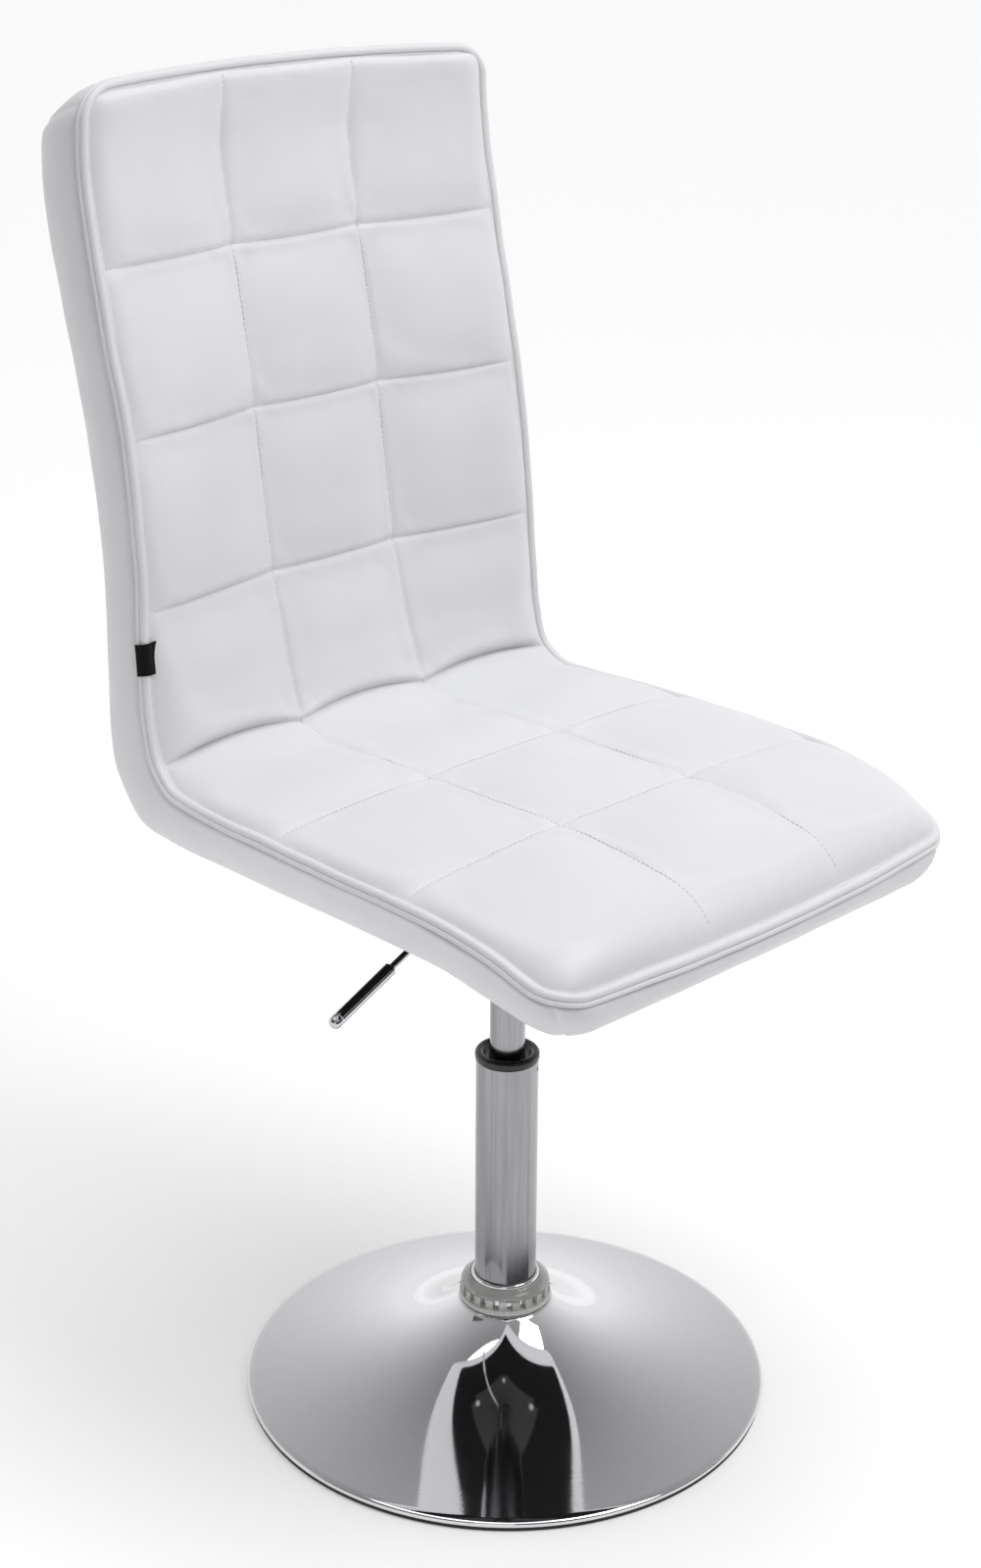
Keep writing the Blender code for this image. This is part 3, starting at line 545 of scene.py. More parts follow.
def shell_tray():
    """Points of the boxing's rings and of the rear face's grid, and what each face belongs to."""
    rings = profile_rings()
    x0, s0 = rim_at(0.0)
    loops = []
    for number, (inset, share, offset) in enumerate(rings[:-1]):
        x, s = rim_at(inset)
        height = number / len(rings)
        slack = 0.0010 * smooth_noise(s / 0.16 + 3 * np.sign(x0), height * 0.8 + 0 * s, 21)
        slack += 0.0004 * smooth_noise((s + x) / 0.035, height * 2 + 0 * s, 22)
        gathered = np.exp(-number / 3.5) * np.clip((0.30 - s0) / 0.05, 0, 1)
        slack += 0.0005 * gathered * smooth_noise((s + x) / 0.008, height * 6 + 0 * s, 23)
        slack -= corner_seam(x0, s0)
        loops.append(pushed(x, s, share, offset, x0, s0, slack))
    inset, share, offset = rings[-1]
    x, s = sheet_grid(inset, EVEN_COLUMNS)
    slack = 0.0008 * smooth_noise(x / 0.15, s / 0.2, 31) - 0.0006
    back = bent(x, s, share, offset + slack)
    return np.array(loops), back, x0, s0


def pushed(x, s, share, offset, x0, s0, slack):
    """Ring points moved outwards, away from the shell's middle, by slack."""
    here = bent(x, s, share, offset)
    out = unit(bent(*rim_at(-0.01), 0.5, 0) - bent(x0, s0, 0.5, 0))
    sink = np.clip((share - 0.8) / 0.2, 0, 1)
    behind = unit(bent(x, s, share, offset + 0.01) - here)
    return here + (out * (1 - sink) + behind * sink) * slack[:, None]


def corner_seam(x0, s0):
    """Depth of the sewn groove across the boxing where the side strips end."""
    past = half_width(s0) - np.abs(x0) - SEAM_DRAWN
    near_end = (s0 < TOP_CORNER) | (s0 > LENGTH - FRONT_CORNER)
    return np.where(near_end, 0.0016 * np.exp(-((past / 0.0011) ** 2)), 0.0)


def shell_pieces(finish):
    """The boxing and the rear cover, split where the strips are sewn together."""
    loops, back, x0, s0 = shell_tray()
    rings, count, _ = loops.shape
    rows, columns, _ = back.shape
    total = rings * count
    rim = total + rim_of(np.arange(rows * columns).reshape(rows, columns))
    levels = np.vstack([np.arange(total).reshape(rings, count), rim])
    strip_at = profile_rings()[:, 0]
    drawn = half_width(s0) - np.abs(x0)
    side = 0.5 * (drawn + np.roll(drawn, -1)) < SEAM_DRAWN
    left, right, rear = [], [], []
    for k in range(rings):
        quads = between(levels[k], levels[k + 1])
        on_band = side & (strip_at[k] < BAND_ENDS_AT)
        left += list(quads[on_band & (x0 > 0)])
        right += list(quads[on_band & (x0 < 0)])
        rear += list(quads[~on_band])
    rear += list(grid_faces(rows, columns, total))
    points = np.vstack([loops.reshape(-1, 3), back.reshape(-1, 3)])
    parts = [("side_band_left_skin", "side_band_left", left)]
    parts += [("side_band_right_skin", "side_band_right", right), ("rear_skin", "rear_cover", rear)]
    for name, node, faces in parts:
        used, index = np.unique(np.array(faces).ravel(), return_inverse=True)
        made = skin(name, points[used], index.reshape(-1, 4), finish, "seat")
        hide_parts(node)


def welt_route(inset, offset):
    """A slightly uneven line round the shell, at an inset and an offset behind the welt's plane."""
    x, s = rim_at(inset)
    drift = WELT_WAVE * smooth_noise(s / 0.06, x / 0.06, 41)
    return bent(x, s, 0, offset + drift)


def welts(finish):
    """The welt round the quilted face: a main cord between two narrow folded edges."""
    cord = tube_along("welt_cord", welt_route(0.0004, -0.0006), 0.0031, finish, "seat", 14)
    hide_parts("piping")
    inner = tube_along("welt_inner_fold", welt_route(0.0048, -0.0004), 0.0017, finish, "seat", 10)
    outer = tube_along("welt_outer_fold", welt_route(-0.0023, 0.0028), 0.0020, finish, "seat", 10)


def read_along(at, along, rows):
    """A row of three values read between rows that stand at the distances in along."""
    return np.array([np.interp(at, along, rows[:, k]) for k in range(3)])


def stitch_row(points, faces, route, normals, pitch, length, radius):
    """Adds small rounded threads along a route, one each pitch."""
    along = np.concatenate([[0], np.cumsum(np.linalg.norm(np.diff(route, axis=0), axis=1))])
    sides = 6
    angle = np.linspace(0, 2 * np.pi, sides, endpoint=False)
    shape = [(-0.5, 0.35), (-0.36, 0.9), (0.0, 1.0), (0.36, 0.9), (0.5, 0.35)]
    for at in np.arange(pitch / 2, along[-1], pitch):
        place, normal = read_along(at, along, route), read_along(at, along, normals)
        ahead = read_along(at + pitch / 3, along, route)
        behind = read_along(at - pitch / 3, along, route)
        tangent = unit(ahead - behind)
        side = unit(np.cross(tangent, normal))
        up = np.cross(side, tangent)
        first = len(points)
        for share, width in shape:
            sag = radius * (0.4 - 3.2 * share**2)
            centre = place + tangent * share * length + up * sag
            for a in angle:
                points.append(centre + (side * np.cos(a) + up * np.sin(a)) * radius * width)
        rings = np.arange(first, len(points)).reshape(len(shape), sides)
        for ring, other in zip(rings, rings[1:]):
            faces += list(between(ring, other))
        faces += [rings[0], rings[-1]]


def surface_line(x, s):
    """Points on the quilted face along lines of x and s, and the outward directions there."""
    here = bent(x, s, 0, -quilt_height(x, s))
    return here, unit(bent(x, s, 0, 0) - bent(x, s, 0, 0.01))


def quilt_stitches(finish):
    """Stitches along the quilt's seams, but for the crease, whose stitches lie out of sight."""
    points, faces = [], []
    for s in ROW_SEAMS:
        if s == CREASE:
            continue
        half = float(half_width(s)) - 0.006
        x = np.linspace(-half, half, 200)
        row = np.full_like(x, s)
        route, normals = surface_line(x, row - row_arcs(x, row))
        stitch_row(points, faces, route + normals * THREAD_LIFT, normals, *QUILT_STITCH)
    for side in (-1, 1):
        s = np.linspace(0.008, LENGTH - 0.010, 500)
        route, normals = surface_line(side * seam_x(s), s)
        stitch_row(points, faces, route + normals * THREAD_LIFT, normals, *QUILT_STITCH)
    made = skin("quilt_stitches", points, faces, finish, "seat")


def welt_stitches(finish):
    """Stitches in the grooves on both sides of the main cord."""
    points, faces = [], []
    for inset, offset in ((0.0031, -0.0016), (-0.0016, 0.0006)):
        x, s = rim_at(inset)
        route = bent(x, s, 0, offset)
        out = unit(bent(x, s, 0, -0.01) - bent(x, s, 0, 0))
        stitch_row(points, faces, route, out, *WELT_STITCH)
    made = skin("welt_stitches", points, faces, finish, "seat")


def side_label(finish):
    """A blank woven label, folded over the welt towards the quilted face."""
    s0 = down_from_height(0.631)
    half, thick = 0.0122, 0.0005
    u = np.linspace(0, 1, 22)
    v = np.linspace(-1, 1, 25)
    inset = np.interp(u, (0, 0.30, 0.5, 1), (-0.0056, -0.0022, 0.0040, 0.0115))
    lift = np.interp(u, (0, 0.18, 0.42, 0.6, 1), (-0.0024, 0.0032, 0.0052, 0.0046, 0.0056))
    x = -(float(half_width(s0)) - inset[:, None]) + 0 * v[None, :]
    flare_out = 1 + 0.05 * u[:, None]
    s = s0 + half * v[None, :] * flare_out + 0.0006 * u[:, None]
    curl = 0.0004 * smooth_noise(u[:, None] * 0.9, v[None, :] * 0.6, 51)
    over = bent(x, s, 0, -lift[:, None] - curl)
    under = bent(x, s, 0, -lift[:, None] - curl + thick)
    rows, columns = x.shape
    total = rows * columns
    rim = rim_of(np.arange(total).reshape(rows, columns))
    wall = between(rim, rim + total)
    faces = [*grid_faces(rows, columns), *grid_faces(rows, columns, total), *wall]
    points = [*over.reshape(-1, 3), *under.reshape(-1, 3)]
    made = skin("side_label", points, faces, finish, "seat")
    made.data.set_sharp_from_angle(angle=math.radians(50))
    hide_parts("side_tag")


# Base, column and lever

BASE_RADIUS = 0.213
NECK_RADIUS = 0.036
NECK_TOP = 0.0762
RIM_HEIGHT = 0.0038
# The trumpet's outer face: its height at the rim, and the steepness and shift of its curve
RIM_FACE = 0.0080
FLARE_STEEPNESS = 0.01028
FLARE_SHIFT = 0.0594
TUBE_RADIUS = 0.025
TUBE_WALL = 0.002
TUBE_FOOT = 0.032
TUBE_TOP = 0.2933
# Just outside the tube, for the trims that sit round it
TRIM_BORE = 0.0254
MARK_HEIGHT = 0.2865
MARK_RADIUS = 0.0014
SLEEVE_FOOT = 0.212
SLEEVE_TOP = 0.3003
PRESSURE_RADIUS = 0.014
RING_TEETH = 20
TEETH_FOOT = 0.0811
TEETH_TOP = 0.0899
LEVER_HEIGHT = 0.469
LEVER_SLOPE = math.radians(24.3)
# Distances out from the column's axis to the lever's inner end, its bar and its tip
LEVER_START = -0.0035
LEVER_STEP = 0.1245
LEVER_TIP = 0.185


def flare(radius):
    """Height of the trumpet's outer face."""
    at_rim = FLARE_STEEPNESS / (BASE_RADIUS + FLARE_SHIFT)
    return RIM_FACE + FLARE_STEEPNESS / (radius + FLARE_SHIFT) - at_rim


def trumpet(finish):
    """The spun base: a flat neck, the flare, and a rim turned under."""
    radii = NECK_RADIUS + (BASE_RADIUS - NECK_RADIUS - 0.0025) * np.linspace(0, 1, 60) ** 1.4
    outer = [(TUBE_RADIUS + 0.0003, NECK_TOP), (NECK_RADIUS - 0.0012, NECK_TOP)]
    outer += [(r, min(flare(r), NECK_TOP - 0.0003)) for r in radii]
    outer += [(BASE_RADIUS - 0.0007, 0.0077), (BASE_RADIUS, 0.0066), (BASE_RADIUS, 0.0052)]
    outer += [(BASE_RADIUS - 0.0006, RIM_HEIGHT), (BASE_RADIUS - 0.0040, RIM_HEIGHT)]
    inner = [(r - 0.0010, flare(r) - 0.0020) for r in radii[-2:0:-1]]
    inner += [(NECK_RADIUS - 0.0024, NECK_TOP - 0.0043), (TUBE_RADIUS + 0.0003, NECK_TOP - 0.0024)]
    made = turned("trumpet_base", outer + inner, 192, finish, "base")
    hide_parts("base_disc")


def floor_seal(finish):
    """The rubber ring that the base stands on."""
    outline = [(0.1970, 0.0), (0.2112, 0.0), (0.2120, 0.0007), (0.2120, 0.0030)]
    outline += [(0.2114, 0.0036), (0.1974, 0.0036), (0.1968, 0.0030), (0.1968, 0.0007)]
    made = turned("floor_seal", outline[::-1], 160, finish, "base")
    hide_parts("floor_ring")


def stand_column(finishes):
    """The outer tube, its foot bead and the plastic guide in its top."""
    inner, outer = TUBE_RADIUS - TUBE_WALL, TUBE_RADIUS
    wall = [(inner, TUBE_FOOT), (outer, TUBE_FOOT), (outer, TUBE_TOP - 0.0006)]
    wall += [(outer - 0.0006, TUBE_TOP), (inner, TUBE_TOP)]
    tube = turned("stand_tube_skin", wall[::-1], 128, finishes["tube_chrome"], "base")
    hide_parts("stand_tube")
    turn = np.linspace(-0.5 * np.pi, 0.5 * np.pi, 14)
    bead = [(TRIM_BORE, 0.0992)]
    bead += [(0.0260 + 0.0020 * math.cos(a), 0.0962 - 0.0030 * math.sin(a)) for a in turn]
    bead += [(TRIM_BORE, 0.0930)]
    bead_made = turned("foot_bead_skin", bead, 96, finishes["chrome"], "base")
    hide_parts("foot_bead")
    bore, skirt = PRESSURE_RADIUS + 0.0004, inner - 0.0003
    collar, seat = TUBE_RADIUS + 0.0007, TUBE_TOP + 0.0001
    shape = [(bore, SLEEVE_FOOT), (skirt, SLEEVE_FOOT), (skirt, seat), (collar, seat)]
    shape += [(collar, 0.2984), (0.0240, SLEEVE_TOP), (0.0212, SLEEVE_TOP)]
    shape += [(0.0190, 0.2990), (0.0172, 0.2962), (bore, 0.2956)]
    outline = rounded(shape, 0.0008)[::-1]
    sleeve = turned("guide_sleeve_skin", outline, 128, finishes["black_plastic"], "base")
    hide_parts("guide_sleeve")
    for number, angle in enumerate((-62, -34), 1):
        dimple(f"tube_dimple_{number}", math.radians(angle), finishes["hole"])


def dimple(name, angle, finish):
    """One of two near-black lenses on the outer tube near its top: painted shade standing in for the
    hollow of a dimple pressed into the tube.
    """
    mesh = bpy.data.meshes.new(name)
    bm = bmesh.new()
    bmesh.ops.create_uvsphere(bm, u_segments=20, v_segments=12, radius=MARK_RADIUS)
    bmesh.ops.scale(bm, vec=(0.16, 1, 1), verts=bm.verts)
    place = Matrix.Rotation(angle, 4, "Z") @ Matrix.Translation((TUBE_RADIUS, 0, MARK_HEIGHT))
    bmesh.ops.transform(bm, matrix=place, verts=bm.verts)
    bm.to_mesh(mesh)
    bm.free()
    made = link(name, mesh, finish, "base")


def toothed_ring(clear, pale, bright):
    """The moulded ring at the column's foot: a flange, clear teeth before a bright core, and a lip."""
    flange = [(TRIM_BORE, 0.0766), (0.0368, 0.0766), (0.0374, 0.0774), (0.0374, 0.0802)]
    flange += [(0.0366, 0.0812), (TRIM_BORE, 0.0812)]
    outline = rounded(flange[::-1] + flange[-1:], 0.0006)[:-1]
    lower = turned("ring_flange", outline, 128, pale, "base")
    lip = [(TRIM_BORE, 0.0898), (0.0352, 0.0898), (0.0360, 0.0906), (0.0356, 0.0922)]
    lip += [(0.0300, 0.0964), (0.0284, 0.0966), (0.0283, 0.0932), (TRIM_BORE, 0.0926)]
    upper = turned("ring_lip", lip[::-1], 128, clear, "base")
    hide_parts("column_ring")
    points, faces = [], []
    for k in range(RING_TEETH):
        tooth(points, faces, 2 * math.pi * (k + 0.3) / RING_TEETH)
    teeth = skin("ring_teeth", points, faces, clear, "base")
    teeth.data.set_sharp_from_angle(angle=math.radians(30))
    hidden, seen = 0.0258, 0.0322
    core = [(hidden, TEETH_FOOT), (seen, TEETH_FOOT), (seen, TEETH_TOP), (hidden, TEETH_TOP)]
    inner = turned("ring_core", core[::-1], 96, bright, "base")


def tooth(points, faces, angle):
    """A block of the ring, wider outside than inside, from the flange up to the lip."""
    first = len(points)
    for radius, half in ((0.0320, 0.075), (0.0362, 0.090)):
        for z in (TEETH_FOOT, TEETH_TOP):
            for turn in (angle - half, angle + half):
                points.append((radius * math.cos(turn), radius * math.sin(turn), z))
    sides = [(0, 1, 3, 2), (4, 6, 7, 5), (0, 2, 6, 4), (1, 5, 7, 3), (0, 4, 5, 1), (2, 3, 7, 6)]
    faces += [tuple(first + k for k in side) for side in sides]


def lift_tube(finish):
    """The gas spring's cylinder, which slides in the guide."""
    outer, inner, pin_bore = PRESSURE_RADIUS, 0.0115, 0.0038
    foot, top, ceiling = 0.235, 0.457, 0.449
    shape = [(inner, foot), (outer, foot), (outer, top - 0.0008), (outer - 0.0008, top)]
    shape += [(pin_bore, top), (pin_bore, ceiling), (inner, ceiling)]
    made = turned("pressure_tube_skin", shape[::-1], 96, finish, "seat")
    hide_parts("pressure_tube")


def lever_pieces(finishes):
    """A thin rod and the thicker bar pushed over its end."""
    foot = Matrix.Translation((0, 0, LEVER_HEIGHT))
    turn = foot @ Matrix.Rotation(-math.pi / 2 - LEVER_SLOPE, 4, "Y")
    reach = 1 / math.cos(LEVER_SLOPE)
    start, step, tip = LEVER_START * reach, LEVER_STEP * reach, LEVER_TIP * reach
    thin, thick, groove = 0.0027, 0.0052, 0.0052 * 0.93
    rod_shape = [(0, step + 0.012), (thin, step + 0.0115), (thin, start + 0.0004)]
    rod_shape += [(thin - 0.0004, start), (0, start)]
    bar = [(0, tip), (thick * 0.30, tip - 0.0001), (thick * 0.62, tip - 0.0008)]
    bar += [(thick * 0.86, tip - 0.0021), (thick * 0.97, tip - 0.0038), (thick, tip - 0.0062)]
    bar += [(thick, tip - 0.0074), (groove, tip - 0.0078), (groove, tip - 0.0088)]
    bar += [(thick, tip - 0.0092), (thick, step + 0.0012), (thick - 0.0009, step)]
    bar += [(thin + 0.0003, step), (thin + 0.0003, step + 0.0125), (0, step + 0.0125)]
    rod = turned("lever_rod_skin", rod_shape, 48, finishes["lever_chrome"], "lever", 30)
    grip = turned("lever_grip_skin", bar, 64, finishes["lever_chrome"], "lever", 30)
    for made, node in ((rod, "lever_rod"), (grip, "lever_grip")):
        made.data.transform(turn)
        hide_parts(node)


# Materials

class Look:
    """A Principled material, built up from patterns that ride on the piece."""

    def __init__(self, name, color, rough, metallic=0.0, **sockets):
        self.material = bpy.data.materials.new(name)
        self.material.use_nodes = True
        self.tree = self.material.node_tree
        self.shader = self.tree.nodes["Principled BSDF"]
        self.color, self.rough = color, rough
        self.plain("Base Color", (*color, 1))
        self.plain("Roughness", rough)
        self.plain("Metallic", metallic)
        for socket, value in sockets.items():
            self.plain(socket.replace("_", " "), value)
        self.place = self.tree.nodes.new("ShaderNodeTexCoord").outputs["Object"]

    def plain(self, socket, value):
        """Sets a value that is the same all over on the shader's own socket."""
        self.shader.inputs[socket].default_value = value

    def pattern(self, kind, inputs, scale=None, turn=(0, 0, 0)):
        """A texture node read at the piece's own coordinates, stretched by scale and turned."""
        place = self.place
        if scale:
            mapping = self.tree.nodes.new("ShaderNodeMapping")
            mapping.inputs["Scale"].default_value = scale
            mapping.inputs["Rotation"].default_value = turn
            self.tree.links.new(place, mapping.inputs["Vector"])
            place = mapping.outputs["Vector"]
        made = self.tree.nodes.new(kind)
        for socket, value in inputs.items():
            made.inputs[socket].default_value = value
        self.tree.links.new(place, made.inputs["Vector"])
        return made

    def noise(self, scale, detail, stretch=None, turn=(0, 0, 0)):
        """Cloudy noise between 0 and 1."""
        inputs = {"Scale": scale, "Detail": detail, "Roughness": 0.55}
        return self.pattern("ShaderNodeTexNoise", inputs, stretch, turn).outputs["Fac"]

    def cells(self, scale):
        """Distance to the middle of the nearest cell of a random pattern."""
        return self.pattern("ShaderNodeTexVoronoi", {"Scale": scale}).outputs["Distance"]

    def tint(self, value, other, start=0.3, end=0.7):
        """Goes from the colour to another as the value goes from start to end."""
        made = self.tree.nodes.new("ShaderNodeMix")
        made.data_type = "RGBA"
        self.tree.links.new(ranged(self.tree, value, 0, 1, start, end), made.inputs["Factor"])
        made.inputs["A"].default_value = (*self.color, 1)
        made.inputs["B"].default_value = (*other, 1)
        self.tree.links.new(made.outputs["Result"], self.shader.inputs["Base Color"])

    def roughen(self, value, low, high):
        """Varies the roughness from low to high."""
        made = ranged(self.tree, value, low, high)
        self.tree.links.new(made, self.shader.inputs["Roughness"])

    def bump(self, *heights):
        """Chains bumps from (height, strength, distance)."""
        end = self.shader.inputs["Normal"]
        for height, strength, distance in reversed(heights):
            made = self.tree.nodes.new("ShaderNodeBump")
            made.inputs["Strength"].default_value = strength
            made.inputs["Distance"].default_value = distance
            self.tree.links.new(height, made.inputs["Height"])
            self.tree.links.new(made.outputs["Normal"], end)
            end = made.inputs["Normal"]
        return self.material


def ranged(tree, value, low, high, start=0.3, end=0.7):
    """A value stretched from start..end to low..high."""
    made = tree.nodes.new("ShaderNodeMapRange")
    for socket, number in (("From Min", start), ("From Max", end), ("To Min", low), ("To Max", high)):
        made.inputs[socket].default_value = number
    tree.links.new(value, made.inputs["Value"])
    return made.outputs["Result"]


def scaled(color, share, lift=0.0):
    """A colour made lighter or darker by a share, never over one."""
    return tuple(min(1.0, c * share + lift) for c in color)


def leather(name, color):
    """Smooth imitation leather: a fine pebbled grain, faint creases and slow changes of tone."""
    look = Look(name, color, 0.42, Coat_Weight=0.05, Coat_Roughness=0.4)
    look.plain("Subsurface Weight", 0.04)
    look.plain("Subsurface Radius", (0.004, 0.004, 0.004))
    look.plain("Subsurface Scale", 1.0)
    look.tint(look.noise(11, 3), scaled(color, 0.965))
    look.roughen(look.noise(45, 5), look.rough - 0.05, look.rough + 0.07)
    return look.bump((look.cells(900), 0.16, 0.00025), (look.noise(150, 6, (1, 1, 0.6)), 0.12, 0.0004))


def thread(name, color):
    """Twisted sewing thread."""
    look = Look(name, color, 0.6, Sheen_Weight=0.2, Sheen_Roughness=0.4)
    twist = look.noise(2600, 2, (1, 1, 1), (0.5, 0.5, 0.5))
    look.tint(twist, scaled(color, 0.8), 0, 1)
    return look.bump((twist, 0.5, 0.0003))


def plated(name, color, rough, streaks, stretch):
    """Chrome plate with faint polishing lines, dust haze and small changes of tint."""
    look = Look(name, color, rough, 1.0)
    lines = look.noise(260, 5, stretch)
    look.tint(lines, scaled(color, 1 - streaks), 0.35, 0.65)
    look.roughen(look.noise(16, 4), rough * 0.8, rough * 1.5 + 0.01)
    return look.bump((lines, 0.03 + streaks * 0.1, 0.0002))


def machined(name, color, rough, metallic=1.0):
    """Turned or zinc-plated steel with tool marks and lighter patches."""
    look = Look(name, color, rough, metallic)
    marks = look.noise(120, 4, (1, 1, 14))
    look.tint(look.noise(60, 5), scaled(color, 1.25))
    look.roughen(marks, rough * 0.75, rough * 1.3)
    return look.bump((marks, 0.15, 0.0003))


def cast(name, color):
    """Sand-cast iron with a pitted skin and a little rust."""
    look = Look(name, color, 0.7, 0.5)
    look.tint(look.noise(30, 4), (0.12, 0.07, 0.045), 0.5, 0.75)
    return look.bump((look.cells(240), 0.4, 0.0012), (look.noise(420, 6), 0.4, 0.0006))


def moulded(name, color, rough, clear=0.0):
    """Moulded plastic or rubber with a faint spark-eroded skin."""
    look = Look(name, color, rough, Transmission_Weight=clear)
    scuffs = look.noise(70, 5)
    look.tint(scuffs, scaled(color, 1.15, 0.01))
    look.roughen(scuffs, rough * 0.85, min(1.0, rough * 1.2))
    return look.bump((look.noise(900, 3), 0.12, 0.0002))


def woven(name, color, pitch):
    """Plain-woven cloth of crossing threads."""
    look = Look(name, color, 0.9, Sheen_Weight=0.04, Sheen_Roughness=0.5)
    look.plain("Specular IOR Level", 0.15)
    heights = []
    for axis in ("X", "Y", "Z"):
        wave = look.pattern("ShaderNodeTexWave", {"Scale": 0.314 / pitch, "Distortion": 0.6})
        wave.bands_direction = axis
        heights.append((wave.outputs["Fac"], 0.3, pitch * 0.5))
    look.tint(look.noise(40, 4), scaled(color, 1.5))
    return look.bump(*heights)


def veneered(name, color):
    """Beech plywood: long grain lines and flecks."""
    look = Look(name, color, 0.55)
    grain = look.noise(24, 6, (22, 2, 2))
    look.tint(grain, scaled(color, 0.68))
    look.roughen(look.noise(40, 2, (60, 6, 6)), 0.5, 0.68)
    return look.bump((grain, 0.2, 0.0004))


def sponge(name, color):
    """Cut upholstery foam, full of small open pores."""
    look = Look(name, color, 0.95)
    look.tint(look.noise(20, 3), (color[0] * 0.95, color[1] * 0.88, color[2] * 0.72))
    return look.bump((look.cells(700), 0.8, 0.0008))


def make_finishes():
    """Every finish, by its slot's name or its use."""
    return {
        "white_leather": leather("white_leather", (0.765, 0.768, 0.785)),
        "thread": thread("white_thread", (0.79, 0.79, 0.81)),
        "chrome": plated("chrome", (0.80, 0.80, 0.815), 0.035, 0.03, (1, 1, 6)),
        # Partly the satin plate's own lower reflectance, partly painted shade: the plate colour is set
        # far below bright chrome to stand in for the darker, shaded floor it reflects.
        "tube_chrome": plated("tube_chrome", (0.37, 0.37, 0.385), 0.16, 0.20, (1, 1, 0.03)),
        "lever_chrome": plated("lever_chrome", (0.62, 0.62, 0.64), 0.05, 0.05, (3, 3, 3)),
        "steel": machined("zinc_steel", (0.52, 0.53, 0.55), 0.33),
        "black_steel": machined("black_steel", (0.025, 0.025, 0.026), 0.45, 0.3),
        "cast_iron": cast("cast_iron", (0.07, 0.07, 0.072)),
        "rubber": moulded("rubber", (0.018, 0.018, 0.018), 0.8),
        "black_plastic": moulded("black_plastic", (0.012, 0.012, 0.013), 0.22),
        "clear_plastic": moulded("clear_plastic", (0.78, 0.77, 0.74), 0.14, 0.55),
        "pale_plastic": moulded("pale_plastic", (0.72, 0.71, 0.68), 0.25, 0.15),
        # Painted shade: a near-black colour standing in for the hollows of the two dimples pressed
        # into the outer tube.
        "hole": moulded("dimple_painted_shade", (0.01, 0.01, 0.01), 0.6),
        "plywood": veneered("plywood", (0.60, 0.43, 0.26)),
        "foam": sponge("foam", (0.84, 0.79, 0.58)),
        "black_cloth": woven("black_cloth", (0.005, 0.005, 0.0055), 0.0009),
        "label_cloth": woven("label_cloth", (0.004, 0.004, 0.0045), 0.0005),
    }


def finish_kept_nodes(finishes):
    """Gives each CAD node that is still shown the finish of its slot."""
    slots = {row["node"]: row["material_slot"] for row in frame["record"]["subparts"]}
    for name, node in frame["nodes"].items():
        if node.hide_render:
            continue
        node.data.materials.clear()
        node.data.materials.append(finishes[slots[name]])


# Stage


def stage_plane(name, size, place, turn, grey, glow=0.0, hidden=False):
    """A card or floor that isn't part of the chair. A hidden one still reflects and gives shade."""
    mesh = mesh_of(name, [(-1, -1, 0), (1, -1, 0), (1, 1, 0), (-1, 1, 0)], [(0, 1, 2, 3)])
    made = placed(name, mesh)
    made.scale = (size[0] / 2, size[1] / 2, 1)
    made.location = place
    made.rotation_euler = [math.radians(a) for a in turn]
    look = Look(name, (grey, grey, grey), 0.9)
    look.plain("Emission Color", (grey, grey, grey, 1))
    look.plain("Emission Strength", glow)
    mesh.materials.append(look.material)
    made.visible_camera = not hidden


def key_light(place, target, size, power):
    """A square soft light aimed at a target."""
    data = bpy.data.lights.new("key", "AREA")
    data.shape = "RECTANGLE"
    data.size = data.size_y = size
    data.energy = power
    made = placed("key", data)
    made.location = place
    made.rotation_euler = (Vector(target) - Vector(place)).to_track_quat("-Z", "Y").to_euler()


def overhead_light(strength, spread):
    """Very soft light straight down, as strong on the far floor as on the chair."""
    data = bpy.data.lights.new("overhead", "SUN")
    data.energy = strength
    data.angle = math.radians(spread)
    placed("overhead", data)


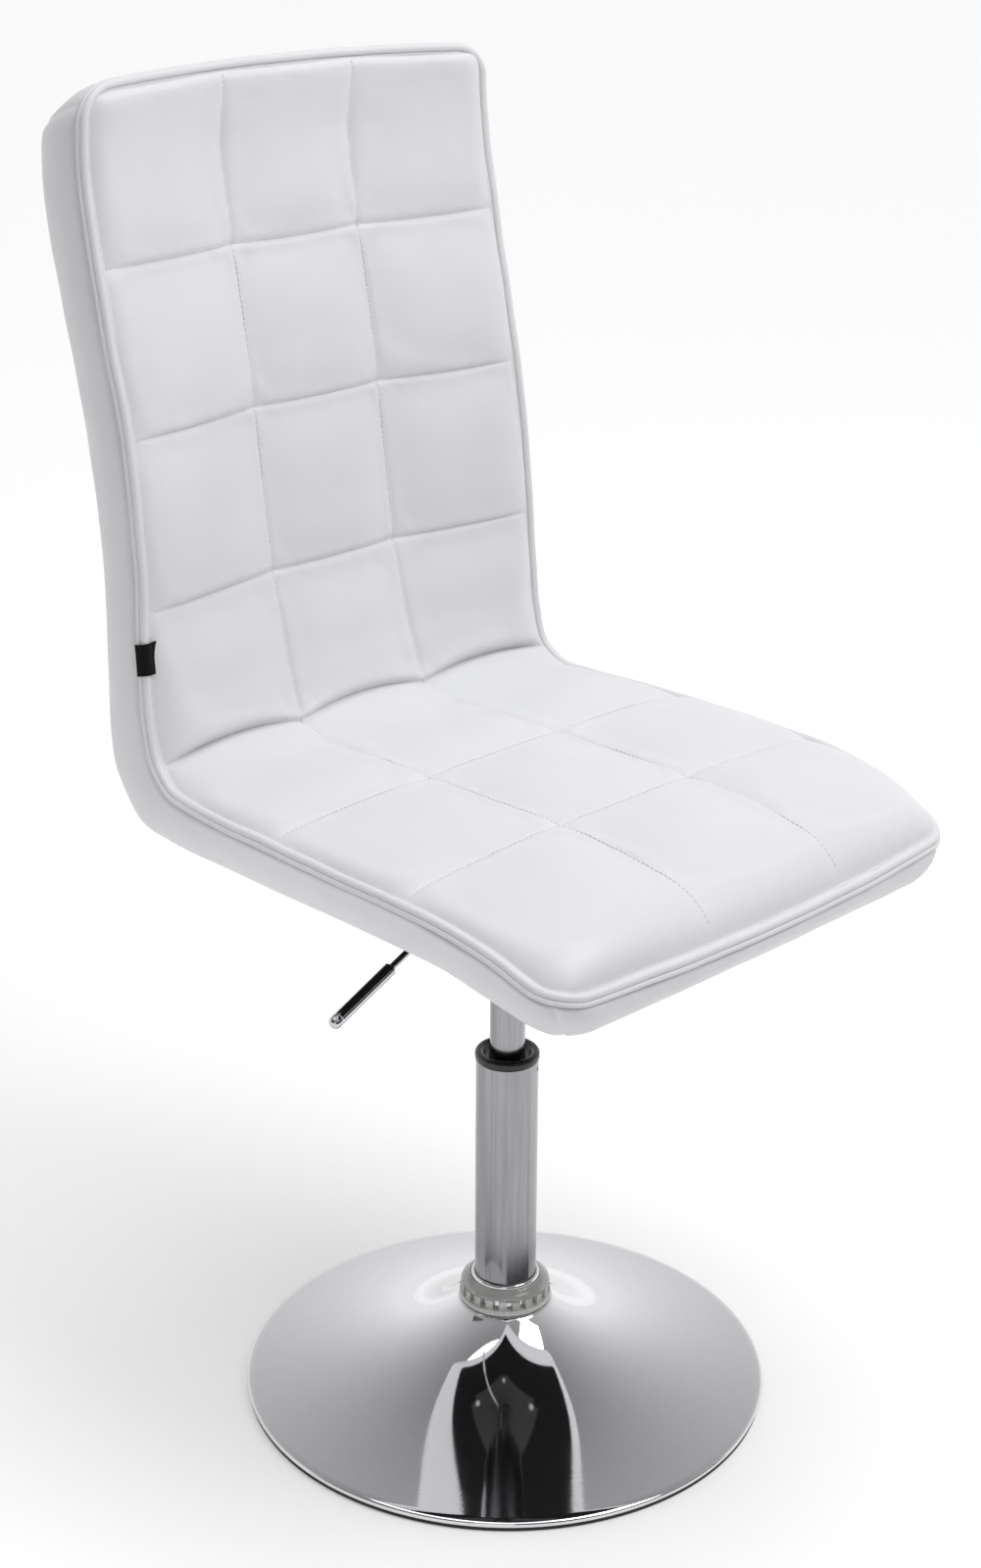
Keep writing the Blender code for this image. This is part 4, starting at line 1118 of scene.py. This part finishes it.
def world_light(color, at_horizon, overhead):
    """Soft light from all round, brightest low down and dimmer towards the ceiling."""
    world = bpy.data.worlds.new("studio")
    bpy.context.scene.world = world
    world.use_nodes = True
    tree = world.node_tree
    background = tree.nodes["Background"]
    background.inputs["Color"].default_value = (*color, 1)
    direction = tree.nodes.new("ShaderNodeTexCoord").outputs["Generated"]
    parts = tree.nodes.new("ShaderNodeSeparateXYZ")
    tree.links.new(direction, parts.inputs["Vector"])
    strength = ranged(tree, parts.outputs["Z"], at_horizon, overhead, 0.1, 0.95)
    tree.links.new(strength, background.inputs["Strength"])


def studio():
    """A pale wide floor, soft light from all round and above, and two dark cards."""
    world_light((0.985, 0.985, 1.0), 0.95, 0.22)
    stage_plane("floor", (40, 40), (0, 0, 0), (0, 0, 0), 0.93, glow=0.20)
    stage_plane("side_card", (1.9, 3.0), (-2.1, 0.1, 1.45), (0, 90, 0), 0.10, hidden=True)
    stage_plane("front_card", (3.2, 1.15), (0.3, -1.5, 0.60), (90, 0, 0), 0.10, hidden=True)
    key_light((0.5, -1.6, 2.8), (0, 0, 0.6), 1.4, 33)
    overhead_light(1.15, 50)
    bpy.context.scene.view_settings.view_transform = "Standard"


def make_camera():
    """The camera, from in front on the sitter's right, a little above the back's top."""
    place = (-1.34596, -1.31796, 1.27367)
    around, down, roll = math.radians(44.50), math.radians(21.454), 0.00234
    level = Vector((math.sin(around), math.cos(around), 0))
    forward = level * math.cos(down) - Vector((0, 0, math.sin(down)))
    right = Vector((math.cos(around), -math.sin(around), 0))
    up = right.cross(forward)
    tilted = right * math.cos(roll) + up * math.sin(roll)
    upright = up * math.cos(roll) - right * math.sin(roll)
    data = bpy.data.cameras.new("camera")
    data.lens = 61.23
    data.sensor_width = 36
    data.sensor_fit = "AUTO"
    data.shift_x = 0.01807
    data.shift_y = -0.0062
    data.clip_end = 60
    camera = placed("camera", data)
    turn = Matrix((tilted, upright, -forward)).transposed().to_4x4()
    camera.matrix_world = Matrix.Translation(place) @ turn
    bpy.context.scene.camera = camera


def main():
    finishes = make_finishes()
    for covering in (cushion, shell_pieces, welts):
        covering(finishes["white_leather"])
    quilt_stitches(finishes["thread"])
    welt_stitches(finishes["thread"])
    side_label(finishes["label_cloth"])
    trumpet(finishes["chrome"])
    floor_seal(finishes["rubber"])
    stand_column(finishes)
    toothed_ring(finishes["clear_plastic"], finishes["pale_plastic"], finishes["chrome"])
    lift_tube(finishes["tube_chrome"])
    lever_pieces(finishes)
    finish_kept_nodes(finishes)
    studio()
    make_camera()


main()
